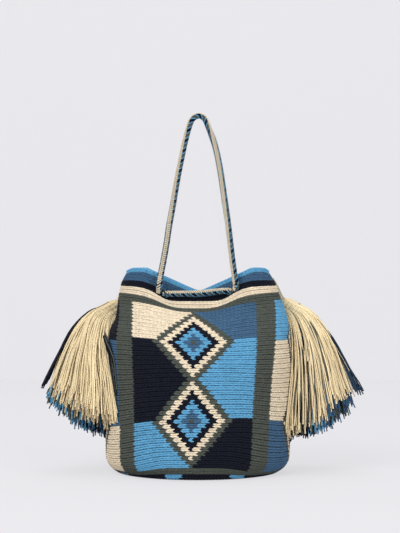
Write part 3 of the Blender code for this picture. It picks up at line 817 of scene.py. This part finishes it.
def neck_frame(side, drop=0.0):
    """The middle of a tassel's binding, less a drop, the way its yarn leaves, and two ways across that."""
    height = NECK_HEIGHT[side]
    aside, ahead = math.sin(NECK_TILT) * math.cos(NECK_TURN), math.sin(NECK_TILT) * math.sin(NECK_TURN)
    away = np.array([side * aside, -ahead, -math.cos(NECK_TILT)])
    level = np.array([-side * math.sin(NECK_TURN), -math.cos(NECK_TURN), 0])
    upward = np.cross(level, away) * side
    outer = NECK_RADIUS + BINDING_CLEARANCE + BINDING_THICKNESS
    stand_off = BINDING_LENGTH / 2 * aside + outer * math.sqrt(1 - aside ** 2)
    reach = float(side_wall(side, height, NECK_Y)) + stand_off + NECK_CLEARANCE + GATHER_DEPTH / 2
    return np.array([side * reach, NECK_Y, height - drop]), away, upward, level


def drawstring_half(side, front):
    """Half of a mouth cord: from its tassel in through the side eyelet, along the inside, out to the run."""
    side_column = FRONT_SIDE_COLUMN if front else BACK_SIDE_COLUMN
    run_column = RUN_COLUMN if front else BACK_RUN_COLUMN
    toward = -1 if front else 1
    inside = -WALL_THICKNESS / 2 - CORD_DIAMETER
    neck, away, _, level = neck_frame(side)
    entry = neck - away * (BINDING_LENGTH / 2 + BINDING_CLEARANCE)
    entry = entry - level * toward * (CORD_DIAMETER + CORD_GAP) / 2
    half = [entry, entry - away * CORD_DIAMETER]
    half += through(*passage(side * side_column), (-inside, 0.0, inside))
    start, stop = side_column + toward * INSIDE_FIRST, run_column - toward * INSIDE_LAST
    for share in INSIDE_SHARES:
        column = side * (start + (stop - start) * share)
        half.append(draped(INSIDE_ROW, column, inside - CORD_DIAMETER / 2)[0])
    inner, outer = RUN_PASSAGE
    half += through(*passage(side * run_column, straight=True), (inner * inside, 0.0, outer * CORD_DIAMETER))
    half.append(half[-1] - np.array([side * RUN_TURN * CORD_DIAMETER, 0, 0]))
    return half


def drawstring_route(front):
    """A mouth cord's route from the left tassel to the right one, by way of the front or the back."""
    left, right = drawstring_half(-1, front), drawstring_half(1, front)
    middle = (left[-1] + right[-1]) / 2 - np.array([0, 0, RUN_SAG])
    return left + [middle] + right[::-1]


def handle_ends():
    """The two inner stretches of the handle cord, and the directions in which they pass the wall."""
    ends = []
    for side in (-1, 1):
        place, direction = passage(side * LEG_COLUMN)
        ends.append((through(place, direction, (0.0, -HANDLE_INWARD * CORD_DIAMETER)), direction))
    return ends


def handle_route():
    """The handle cord's route from the left knot over the loop to the right knot."""
    (left, _), (right, _) = handle_ends()
    return left[::-1] + [np.array(point) for point in HANDLE_ROUTE] + right


def carried_frame(line, outer):
    """The directions ahead, across and beside along a line, with no twist: across starts at outer."""
    ahead = unit(np.gradient(line, axis=0))
    across = []
    last = np.array(outer, dtype=float)
    for direction in ahead:
        last = unit(last - direction * last.dot(direction))
        across.append(last)
    across = np.array(across)
    return ahead, across, np.cross(ahead, across)


def band_yarn(distance):
    """The yarn of the braid's coloured bands at a distance along it."""
    place = distance % sum(wide for _, wide in BRAID_BANDS)
    for yarn, wide in BRAID_BANDS:
        place -= wide
        if place < 0:
            return yarn
    return yarn


def leaning(first, second, lean):
    """Directions at an angle from the first ones towards the second ones."""
    lean = np.atleast_1d(lean)[:, None]
    return unit(first) * np.cos(lean) + unit(second) * np.sin(lean)


def braided_cord(name, route, turn_at, nodes):
    """A round braid. turn_at says where its cream faces: knots of share and degrees, or one direction."""
    line = smooth_route(route, PLAIT_STEP)
    ahead, across, beside = carried_frame(line, (-1, 0, 0))
    travel = travelled(line)
    if len(np.shape(turn_at)) == 1:
        middle = len(line) // 2
        turn = math.degrees(math.atan2(beside[middle].dot(turn_at), across[middle].dot(turn_at)))
        turn_at = ((0, turn), (1, turn))
    shares, turns = np.array(turn_at, dtype=float).T
    by_yarn = {}
    for column in range(PLAIT_COLUMNS):
        cream = column < CREAM_COLUMNS
        pitch, slant, plait = CREAM_WEAVE if cream else BAND_WEAVE
        gone = np.arange(0.5 + 0.5 * (column % 2), travel[-1] / pitch - 0.5) * pitch
        spot, forward, aside, near = (between(gone, travel, rows) for rows in (line, ahead, across, beside))
        angle = np.interp(gone / travel[-1], shares, turns) + (column - 0.5) * 360 / PLAIT_COLUMNS
        angle = np.radians(angle)[:, None]
        facing = aside * np.cos(angle) + near * np.sin(angle)
        run = forward * math.cos(slant) + np.cross(forward, facing) * math.sin(slant)
        places = spot + facing * PLAIT_RADIUS
        for k, distance in enumerate(gone):
            yarn = "cream" if cream else band_yarn(distance - BAND_RISE * column)
            by_yarn.setdefault(yarn, []).append((places[k], facing[k], run[k], plait))
    core = strands(name, [smooth_route(route, CORD_STEP / 2)], CORE_RADIUS, CORE_GAP_SHADE_YARN, sides=CORE_SIDES)
    meshes = [core] + [grains(name, rows, yarn) for yarn, rows in by_yarn.items()]
    return piece(name, meshes, nodes), line


def stopper_knot(name, inner, direction, node):
    """An overhand knot drawn tight round the end of the handle cord."""
    middle = inner[0] * (1 - KNOT_SHARE) + inner[1] * KNOT_SHARE
    across = unit(np.cross(direction, (0, 0, 1)))
    beside = np.cross(direction, across)
    turns = np.linspace(0, KNOT_TURNS * 2 * math.pi, KNOT_POINTS)
    rise = KNOT_RISE * (turns / math.pi - KNOT_TURNS) / 2
    lines = []
    for start in (0.0, math.pi):
        around = np.outer(np.cos(turns + start), across) + np.outer(np.sin(turns + start), beside)
        lines.append(middle + around * (CORD_DIAMETER / 2 + KNOT_REACH) + np.outer(rise, direction))
    return piece(name, [strands(name, lines, KNOT_YARN, "cream", sides=KNOT_SIDES)], (node,))


def wall_stitches(keep_off):
    """Every stitch of the wall as two leaning grains of its own yarn, apart from those at the eyelets."""
    rows = {yarn: [] for yarn in YARNS}
    chance = np.random.default_rng(WALL_ROWS)
    for row in range(WALL_ROWS):
        middle = row + 0.5
        columns = STITCHES + pattern_shift(middle) + STITCH_STAGGER * (row % 2 - 0.5)
        place = cloth(middle, columns, RIDGE_HEIGHT - GRAIN_DEPTH)
        facing = outward(middle, columns)
        wide = cloth(middle, columns + 0.5) - cloth(middle, columns - 0.5)
        slant = 0.5 * (pattern_shift(row + 1) - pattern_shift(row))
        tall = cloth(row + 1, columns + slant) - cloth(row, columns - slant)
        width, height = length(wide), length(tall)
        yarns = [wall_yarn(row, stitch) for stitch in STITCHES]
        for lift, lean in ((GRAIN_LIFT, UPPER_LEAN), (-GRAIN_LIFT, LOWER_LEAN)):
            run = leaning(wide, tall, lean + chance.normal(0, LEAN_CHANCE, ROUND_STITCHES))
            spot = place + tall * (lift + chance.normal(0, LIFT_CHANCE, ROUND_STITCHES))[:, None]
            grow = 1 + chance.normal(0, SIZE_CHANCE, ROUND_STITCHES)
            sizes = stacked(width * GRAIN_LENGTH, height * GRAIN_HEIGHT * grow, GRAIN_DEPTH * grow)
            for k, yarn in enumerate(yarns):
                clear = min(length(line - spot[k]).min() for line in keep_off)
                if clear > CORD_DIAMETER / 2 + EYELET_CLEARANCE:
                    rows[yarn].append((spot[k], facing[k], run[k], sizes[k]))
    return rows


def rim_stitches():
    """The chain of loops that lies along the top of the rim."""
    rows = []
    columns = STITCHES + pattern_shift(WALL_ROWS)
    up = unit(cloth(WALL_ROWS, columns) - cloth(WALL_ROWS - 0.5, columns))
    facing = outward(WALL_ROWS, columns)
    wide = cloth(WALL_ROWS, columns + 0.5) - cloth(WALL_ROWS, columns - 0.5)
    sizes = stacked(length(wide) * RIM_LOOP_LENGTH, RIM_LOOP_HALF, RIM_LOOP_HALF)
    for share, lean in RIM_LOOPS:
        spot = cloth(WALL_ROWS, columns, -WALL_THICKNESS * share) + up * RIM_LOOP_LIFT
        rows += list(zip(spot, up, leaning(wide, facing, lean), sizes))
    return rows


def base_point(share, turn, lift):
    """A point on the rounded corner under the wall, from the base at share 0 to the first row at share 1."""
    first = draped(0, turn / (2 * math.pi) * ROUND_STITCHES)
    around = np.arctan2(first[:, 0], -first[:, 1])
    height = first[:, 2] * share ** 2
    radius = corner(height) * (1 - share) + np.hypot(first[:, 0], first[:, 1]) * share
    radius = radius + lift * share
    return stacked(radius * np.sin(around), -radius * np.cos(around), height)


def add_round(rows, ring, turn, spot, wide, tall, facing, fan=0.0):
    """Adds a round of the base, two grains to a stitch. fan is how much its stitches widen outwards."""
    for lift, lean in ((BASE_LIFT, UPPER_LEAN), (-BASE_LIFT, LOWER_LEAN)):
        run = leaning(wide, tall, lean)
        place = spot + tall * lift
        place[:, 2] = np.maximum(place[:, 2], GRAIN_DEPTH)
        width = length(wide) * (1 + lift * fan)
        sizes = stacked(width * GRAIN_LENGTH, length(tall) * GRAIN_HEIGHT, GRAIN_DEPTH)
        for k, share in enumerate(turn / (2 * math.pi)):
            rows[base_yarn(ring, share)].append((place[k], facing[k], run[k], sizes[k]))


def base_stitches():
    """The base's rounds: three round the corner, then flat ones to the middle."""
    rows = {"navy": [], "light_blue": []}
    turn = (np.arange(ROUND_STITCHES) / ROUND_STITCHES * 2 - 1) * math.pi
    step = math.pi / ROUND_STITCHES
    for ring, share in enumerate(CORNER_ROUNDS):
        wide = base_point(share, turn + step, 0) - base_point(share, turn - step, 0)
        tall = base_point(min(share + CORNER_STEP, 1.0), turn, 0) - base_point(share - CORNER_STEP, turn, 0)
        facing = unit(np.cross(wide, tall))
        spot = base_point(share, turn, -CORNER_SINK) - facing * (GRAIN_DEPTH - BASE_PROUD)
        add_round(rows, ring, turn, spot, wide, tall, facing)
    for ring in range(int(BASE_RADIUS / BASE_ROUND)):
        radius = BASE_RADIUS - (ring + 0.5) * BASE_ROUND
        count = max(int(2 * math.pi * radius / BASE_ROUND), BASE_FEWEST)
        turn = (np.arange(count) + 0.5 * (ring % 2)) / count * 2 * math.pi - math.pi
        out = stacked(np.sin(turn), -np.cos(turn), 0)
        wide = stacked(np.cos(turn), np.sin(turn), 0) * 2 * math.pi * radius / count
        facing = np.tile((0.0, 0.0, -1.0), (count, 1))
        add_round(rows, ring + len(CORNER_ROUNDS), turn, out * radius, wide, out * BASE_ROUND, facing,
                  BASE_ROUND / radius)
    return rows


def lining_rings():
    """The rings of the lining's points, each with its row: up the outside, then down the inside."""
    count = ROUND_STITCHES * LINING_PER_STITCH
    turn = (np.arange(count) / count * 2 - 1) * math.pi
    rings = []
    for share in LINING_CORNER:
        ring = base_point(share, turn, -LINING_DEPTH)
        ring[:, 2] = np.maximum(ring[:, 2], LINING_DEPTH)
        rings.append((ring, -1))
    fractions = np.arange(count) / LINING_PER_STITCH - ROUND_STITCHES / 2
    for row in range(WALL_ROWS + 1):
        rings.append((cloth(row, fractions + pattern_shift(row), -LINING_DEPTH), row))
    rings.append((cloth(WALL_ROWS, fractions + pattern_shift(WALL_ROWS), -WALL_THICKNESS), WALL_ROWS))
    for step in range(WALL_ROWS * LINING_PER_ROW - 1, -1, -1):
        row = step / LINING_PER_ROW
        columns = fractions + pattern_shift(row)
        rib = 0.5 - 0.5 * math.cos(2 * math.pi * (row % 1))
        loop = 0.5 + 0.5 * np.cos(2 * math.pi * (fractions % 1 + 0.5 * (int(row) % 2)))
        depth = INSIDE_RIB * rib * (1 - LOOP_SHARE + LOOP_SHARE * loop)
        rings.append((cloth(row, columns, -WALL_THICKNESS) - outward(row, columns) * depth[:, None], row))
    floor = rings[-1][0].copy()
    floor[:, 2] = FLOOR_HEIGHT
    return rings + [(floor * np.array([share, share, 1]), -2) for share in LINING_FLOOR]


def crochet_lining_with_painted_shade():
    """The cloth behind the stitches: its outside fills the gaps between them and its inside is ribbed. Its
    colours carry painted shade: darker in the gaps, most so low on the wall, and darker still inside the
    bag, darkest in the ribs' valleys and on the inner floor.
    """
    rings = lining_rings()
    count = ROUND_STITCHES * LINING_PER_STITCH
    rim_level = len(LINING_CORNER) + WALL_ROWS
    faces, dyes_with_painted_shade = [], []
    for level in range(len(rings) - 1):
        row = (rings[level][1] + rings[level + 1][1]) / 2
        # Painted shade: the yarn's colour darkened where the lining shows between the stitches, less so on
        # the upper rows, and more inside the bag, most in the ribs' valleys
        shade = float(np.interp(row, GAP_PAINTED_SHADE_ROWS, (LOW_GAP_PAINTED_SHADE, HIGH_GAP_PAINTED_SHADE)))
        if level >= rim_level:
            shade = RIB_VALLEY_PAINTED_SHADE if row % 1 < 1 / LINING_PER_ROW else INSIDE_PAINTED_SHADE
        low, high = level * count, (level + 1) * count
        for k in range(count):
            after = (k + 1) % count
            faces.append((low + k, low + after, high + after, high + k))
            stitch = math.floor((k + 0.5) / LINING_PER_STITCH - ROUND_STITCHES / 2 + 0.5)
            yarn = wall_yarn(min(int(row), WALL_ROWS - 1), stitch) if row >= 0 else "navy"
            dyes_with_painted_shade.append([shade * part for part in YARNS[yarn]])
    faces.append(tuple(range(count))[::-1])
    faces.append(tuple(range((len(rings) - 1) * count, len(rings) * count)))
    dyes_with_painted_shade += [YARNS["navy"], YARNS["navy"]]
    mesh = bpy.data.meshes.new("crochet_lining_with_painted_shade")
    mesh.from_pydata([tuple(point) for ring, _ in rings for point in ring], [], faces)
    colour = mesh.attributes.new("yarn_colour", "FLOAT_COLOR", "CORNER")
    values = []
    for polygon, dye_with_painted_shade in zip(mesh.polygons, dyes_with_painted_shade):
        values += [(*dye_with_painted_shade, 1.0)] * polygon.loop_total
    colour.data.foreach_set("color", np.array(values, dtype=np.float32).ravel())
    mesh.shade_smooth()
    mesh.materials.append(yarn_material("crochet_lining_with_painted_shade", fuzz=LINING_FUZZ))
    return mesh


def yarn_paths(side, out, deep, lengths, head):
    """Lines of strands at their outs and deeps. head is how much wider than the binding each one starts."""
    neck, away, upward, level = neck_frame(side, YARN_NECK_DROP[side])
    across = 2 * out - 1
    radius = (YARN_NECK_RADIUS[side] + head)[:, None]
    covered = 1 - BINDING_COVER + BINDING_COVER * out
    bound_length = BINDING_LENGTH * np.where(head > 0, covered, 1)
    place = neck - away * BINDING_LENGTH / 2 + np.zeros((len(out), 3))
    place[:, 0] -= side * INNER_TUCK * (1 - out) ** 2 * (head > 0)
    place = place + upward * (across * np.sqrt(1 - deep ** 2 / 2))[:, None] * radius
    place = place - level * (deep * np.sqrt(1 - across ** 2 / 2))[:, None] * radius
    first = INNER_START + (OUTER_START - INNER_START) * out
    last = INNER_END[side] + (OUTER_END - INNER_END[side]) * out
    ease = INNER_EASE + (OUTER_EASE - INNER_EASE) * out
    spread = np.where(deep < 0, FRONT_SPREAD[side], BACK_SPREAD[side]) * deep / SPREAD_EASE
    step = lengths / YARN_STEPS
    straight = place.copy()
    lines = [place.copy()]
    for k in range(YARN_STEPS):
        gone = np.maximum((k + 0.5) * step - bound_length, 0)
        angle = last + (first - last) * np.exp(-gone / ease)
        sideways = np.clip(spread * np.exp(-gone / SPREAD_EASE), -SPREAD_LIMIT, SPREAD_LIMIT)
        down = np.sqrt(1 - sideways ** 2)
        fall = stacked(side * down * np.sin(angle), sideways, -down * np.cos(angle))
        bound = np.where(gone > 0, np.exp(-gone / (BINDING_LENGTH / 2)), 1)[:, None]
        straight = straight + unit(away * bound + fall * (1 - bound)) * step[:, None]
        free = smooth(gone / BINDING_LENGTH)
        at_neck = side_wall(side, straight[:, 2], NECK_Y)
        reach = np.maximum(side * straight[:, 0], (at_neck + WALL_CLEARANCE + LAYER_CLEARANCE * out) * free)
        straight[:, 0] = side * reach
        drawn_in = (at_neck - side_wall(side, straight[:, 2], straight[:, 1])) * free
        shifted = straight.copy()
        shifted[:, 0] = side * (reach - drawn_in)
        lines.append(shifted)
    return np.stack(lines, axis=1)


def kept_outside(side, lines):
    """The same strand lines, moved out of the bag's side wall wherever they are loose."""
    loose = loosened(lines.shape[1])
    clear = side_wall(side, lines[..., 2], lines[..., 1]) + WALL_REACH
    pushed = side * np.maximum(side * lines[..., 0], clear)
    lines[..., 0] += (pushed - lines[..., 0]) * loose
    return lines


def loosened(count):
    """How free of its binding a strand is at each of its points."""
    return np.clip(np.linspace(0, 1, count) * LOOSE_GROWTH - LOOSE_LAG, 0, 1)


def fallen(side, out, deep, lengths, head, chance, wander):
    """Strand lines with their own small wanderings, thinned to a few points each."""
    count = len(out)
    lines = yarn_paths(side, out, deep, lengths, head)
    share = np.linspace(0, 1, YARN_STEPS + 1)[:, None]
    drift = chance.normal(0, DRIFT, (count, 1, 3)) * share ** 2
    stray = chance.uniform(0, 1, (count, 1, 1)) < STRAY_SHARE[side]
    drift = drift + np.where(stray, chance.normal(0, STRAY, (count, 1, 3)), 0) * share ** 2 * (1, 1, 0)
    drift = drift * wander
    for size, turns in STRAND_WAVES:
        reach = chance.normal(0, size, (count, 1, 3))
        drift = drift + reach * np.sin(share * turns + chance.uniform(0, WAVE_PHASE, (count, 1, 3)))
    lines = kept_outside(side, lines + drift * loosened(YARN_STEPS + 1)[:, None])
    kept = np.round(np.linspace(0, 1, STRAND_POINTS) ** STRAND_SPACING * YARN_STEPS).astype(int)
    return lines[:, np.unique(kept)]


def held_beside_as_painted_shade(side, lines, limits):
    """Strands that would swing round to the bag's front, hanging down beside its wall instead. Dark ones,
    they stand in for the tassel's shade on the wall: painted shade.
    """
    swing = smooth(np.linspace(0, 1, lines.shape[1]) / BESIDE_START)
    lines[..., 1] = NECK_Y + (lines[..., 1] - NECK_Y) * swing
    ahead = (lines[..., 1] - limits[:, None]) / BESIDE_EASE
    lines[..., 1] = limits[:, None] + BESIDE_EASE * np.logaddexp(0, ahead)
    return kept_outside(side, lines)


def domed(side, lines):
    """The same strand lines, led up over the binding's end to the two cords that the tassel hangs on."""
    neck, away, _, level = neck_frame(side, YARN_NECK_DROP[side])
    top = neck - away * BINDING_LENGTH / 2
    radial = lines[:, 0] - top
    reach = length(radial)[:, None]
    radial = radial / reach
    cords = (CORD_DIAMETER + CORD_GAP) / 2 * np.abs(radial @ level)[:, None]
    cords = cords + CORD_DIAMETER / 2 + STRAND_RADIUS
    arch = []
    for turn in np.radians(DOME_TURNS):
        radius = cords + (reach - cords) * math.sin(turn)
        arch.append(top - away * DOME_RISE * math.cos(turn) + radial * radius)
    return np.concatenate([np.stack(arch, axis=1), lines], axis=1)


def cream_strands(side, cover, chance):
    """The cream strands, in front and on top."""
    cream = []
    for part, over, back in CREAM_PARTS:
        count = int(CREAM_STRANDS[side] * part)
        even = (np.arange(count) + 0.5) / count
        shift = chance.uniform(-CREAM_SHIFT, CREAM_SHIFT, count)
        out = (even + (1 - CREAM_EVENNESS[side]) * shift) * CREAM_TO[side]
        out = np.minimum(np.abs(out), CREAM_TO[side] * chance.uniform(CREAM_EDGE, 1.0, count))
        chance.shuffle(out)
        out[:count // WALL_PART] *= WALL_PULL
        deep = -1 + back * chance.uniform(0, 1, count) ** CREAM_DEEP_POWER
        share = out / CREAM_TO[side]
        trim = CREAM_TRIM * share ** CREAM_TRIM_POWER + CREAM_BACK_TRIM * (deep + 1)
        trim += CREAM_NOTCH[side] * np.exp(-((share - NOTCH_MIDDLE) / NOTCH_WIDTH) ** 2)
        lengths = CREAM_LENGTH * (1 - trim) * (1 - chance.uniform(0, END_CHANCE, count))
        lines = fallen(side, out, deep, lengths, np.full(count, cover * over), chance, WANDER[side])
        cream += list(domed(side, lines) if over else lines)
    return cream


def coloured_strands(side, inner, outer, front, chance):
    """One colour's strands, behind and under the cream ones, the first few of them right in front, or on the
    left hanging beside the wall as painted shade.
    """
    out = chance.uniform(inner, outer, UNDER_STRANDS)
    deep = chance.uniform(UNDER_FRONT[side], 1.0, UNDER_STRANDS)
    deep[:front] = FRONT_DEEP
    share = np.ones(UNDER_STRANDS)
    if side < 0:
        out[:front] = chance.uniform(*BESIDE_OUT, front)
        deep[:front] = chance.uniform(*BESIDE_DEEP, front)
        share[:front] = chance.uniform(*BESIDE_LENGTH, front)
    spare = chance.uniform(-UNDER_CHANCE, UNDER_CHANCE, UNDER_STRANDS)
    lengths = UNDER_LENGTH[side] * (1 - UNDER_TRIM * out ** UNDER_TRIM_POWER) * (1 + spare) * share
    lines = fallen(side, out, deep, lengths, np.zeros(UNDER_STRANDS), chance, UNDER_WANDER)
    # Painted shade: these dark strands lie beside the left wall where the tassel shades it
    if side < 0 and front:
        lines[:front] = held_beside_as_painted_shade(side, lines[:front], chance.uniform(*BESIDE_WALL, front))
    return lines


def edge_strands(side, cover, chance):
    """The bundle that hangs at the tassel's outer edge."""
    count = EDGE_STRANDS[side]
    out = chance.uniform(*EDGE_OUT[side], count)
    deep = chance.uniform(*EDGE_DEEP[side], count)
    lengths = UNDER_LENGTH[side] * (1 - UNDER_TRIM - chance.uniform(0, END_CHANCE, count))
    head = np.full(count, cover * EDGE_HEAD[side])
    edge = fallen(side, out, deep, lengths, head, chance, EDGE_WANDER)
    kick = np.linspace(0, 1, edge.shape[1]) ** 2 * EDGE_KICK[side]
    edge[:, :, 0] += side * kick * chance.uniform(*EDGE_KICKS, (count, 1))
    return edge


def add_strands(side, side_name, yarn, lines, chance, edge=0):
    """One colour's strands as a piece, the last few of them in the tone of the edge's bundle."""
    tones = chance.normal(0, STRAND_TONE, len(lines))
    tones[len(lines) - edge:] += EDGE_TONE[side]
    dyed = "tassel_cream" if yarn == "cream" else yarn
    mesh = strands("strands", lines, STRAND_RADIUS, dyed, tones)
    piece(f"tassel_strands_{side_name}_{yarn}", [mesh], (f"tassel_{side_name}_{yarn}",))


def tassel(side, side_name):
    """A tassel: cream strands in front and on top, coloured ones behind and under them, and a binding."""
    chance = np.random.default_rng(TASSEL_SEED[side])
    cover = BINDING_CLEARANCE + BINDING_THICKNESS + STRAND_RADIUS
    add_strands(side, side_name, "cream", cream_strands(side, cover, chance), chance)
    for yarn, inner, outer, front in UNDER_YARNS[side]:
        lines, edge = coloured_strands(side, inner, outer, front, chance), []
        if yarn == UNDER_YARNS[side][-1][0]:
            edge = edge_strands(side, cover, chance)
        add_strands(side, side_name, yarn, [*lines, *edge], chance, len(edge))
    neck, away, upward, level = neck_frame(side, YARN_NECK_DROP[side])
    turns = np.linspace(0, WRAP_TURNS * 2 * math.pi, WRAP_TURNS * WRAP_POINTS)
    radius = YARN_NECK_RADIUS[side] + BINDING_CLEARANCE + BINDING_THICKNESS / 2
    coil = neck + (np.outer(np.cos(turns), upward) + np.outer(np.sin(turns), level)) * radius
    coil = coil + np.outer((turns / turns[-1] - 0.5) * (BINDING_LENGTH - BINDING_THICKNESS), away)
    wrap = strands("wrap", [coil], BINDING_THICKNESS / 2, "cream", sides=WRAP_SIDES)
    piece(f"tassel_wrap_{side_name}", [wrap], (f"tassel_binding_{side_name}",))


def stage_material():
    """A pale surface that the camera sees at the background's own level, with a little of the real shadow.
    From behind or below it is clear, so that the bag can be looked at from every side."""
    material, recipe = new_material("pale_floor")
    glow = recipe.node("ShaderNodeEmission", Color=(*BACKGROUND, 1), Strength=1.0)
    paper = recipe.node("ShaderNodeBsdfDiffuse", Color=(*BACKGROUND, 1))
    seen = recipe.node("ShaderNodeLightPath", output="Is Camera Ray") * GLOW_SHARE
    mixed = recipe.node("ShaderNodeMixShader", seen, paper, glow)
    behind = recipe.node("ShaderNodeNewGeometry", output="Backfacing")
    clear = recipe.node("ShaderNodeBsdfTransparent")
    recipe.end("ShaderNodeOutputMaterial", recipe.node("ShaderNodeMixShader", behind, mixed, clear))
    return material


def set_sky():
    """An even sky: the camera sees the background's colour, and the bag gets a softer light."""
    world = bpy.data.worlds.new("studio")
    bpy.context.scene.world = world
    world.use_nodes = True
    recipe = Recipe(world.node_tree)
    rays = ("Is Camera Ray", "Is Glossy Ray", "Is Transmission Ray")
    camera, glossy, passing = recipe.node("ShaderNodeLightPath", output=rays)
    direct = recipe.math("MAXIMUM", recipe.math("MAXIMUM", camera, glossy), passing)
    seen = recipe.node("ShaderNodeBackground", (*BACKGROUND, 1), 1.0)
    light = recipe.node("ShaderNodeBackground", (*SKY, 1), SKY_STRENGTH)
    recipe.end("ShaderNodeOutputWorld", recipe.node("ShaderNodeMixShader", direct, light, seen))


def set_stage():
    """The camera, three soft lamps, an even sky, and a pale floor and backdrop."""
    scene = bpy.context.scene
    camera = bpy.data.objects.new("camera", bpy.data.cameras.new("camera"))
    scene.collection.objects.link(camera)
    camera.location = CAMERA_PLACE
    camera.rotation_euler = (math.pi / 2, 0, 0)
    camera.data.sensor_fit = "HORIZONTAL"
    camera.data.lens = CAMERA_LENS
    scene.camera = camera
    for name, (place, power, size) in LAMPS.items():
        lamp = bpy.data.lights.new(name, "AREA")
        lamp.energy = power
        lamp.size = size
        light = bpy.data.objects.new(name, lamp)
        light.location = place
        light.rotation_euler = (Vector(LAMPS_FACE) - Vector(place)).to_track_quat("-Z", "Y").to_euler()
        scene.collection.objects.link(light)
    set_sky()
    mesh = bpy.data.meshes.new("floor")
    wide, back, tall = STAGE_WIDE, STAGE_BACK, STAGE_TALL
    corners = [(-wide, -wide, 0), (wide, -wide, 0), (wide, back, 0), (-wide, back, 0), (wide, back, tall),
               (-wide, back, tall)]
    mesh.from_pydata(corners, [], [(0, 1, 2, 3), (3, 2, 4, 5)])
    mesh.materials.append(stage_material())
    floor = bpy.data.objects.new("floor", mesh)
    scene.collection.objects.link(floor)
    scene.view_settings.view_transform = "Standard"


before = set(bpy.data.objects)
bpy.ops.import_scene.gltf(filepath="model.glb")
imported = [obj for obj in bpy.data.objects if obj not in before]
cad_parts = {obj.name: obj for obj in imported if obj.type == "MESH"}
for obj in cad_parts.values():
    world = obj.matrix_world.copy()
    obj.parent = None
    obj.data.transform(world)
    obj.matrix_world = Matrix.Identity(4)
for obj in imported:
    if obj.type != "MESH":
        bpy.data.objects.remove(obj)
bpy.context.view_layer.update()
set_stage()
GRAINS = grain_tree()
STRANDS = strand_tree()
YARN_MATERIALS = {yarn: yarn_material(f"{yarn}_yarn", colour) for yarn, colour in YARNS.items()}
YARN_MATERIALS["tassel_cream"] = yarn_material("tassel_cream_yarn", TASSEL_CREAM)

handle, handle_line = braided_cord("handle_braid", handle_route(), HANDLE_TURN, ("handle_cord",))
_, front_line = braided_cord("front_drawstring_braid", drawstring_route(True), STRING_CREAM,
                             ("drawstring_front",))
_, back_line = braided_cord("back_drawstring_braid", drawstring_route(False), STRING_CREAM,
                            ("drawstring_back",))
for side_name, (inner, direction) in zip(("left", "right"), handle_ends()):
    stopper_knot(f"stopper_knot_{side_name}", inner, direction, f"handle_knot_{side_name}")
tuple(handle_ends()[0][0][0])

stitch_rows = wall_stitches([handle_line, front_line, back_line])
stitch_rows["light_blue"] += rim_stitches()
named_rows = [(f"crochet_{yarn}", yarn, rows) for yarn, rows in stitch_rows.items()]
named_rows += [(f"crochet_base_{yarn}", yarn, rows) for yarn, rows in base_stitches().items()]
for name, yarn, rows in named_rows:
    piece(name, [grains(name, rows, yarn)], ("crochet_body",))
piece("crochet_lining_with_painted_shade", [crochet_lining_with_painted_shade()], ("crochet_body",))

tassel(-1, "left")
tassel(1, "right")
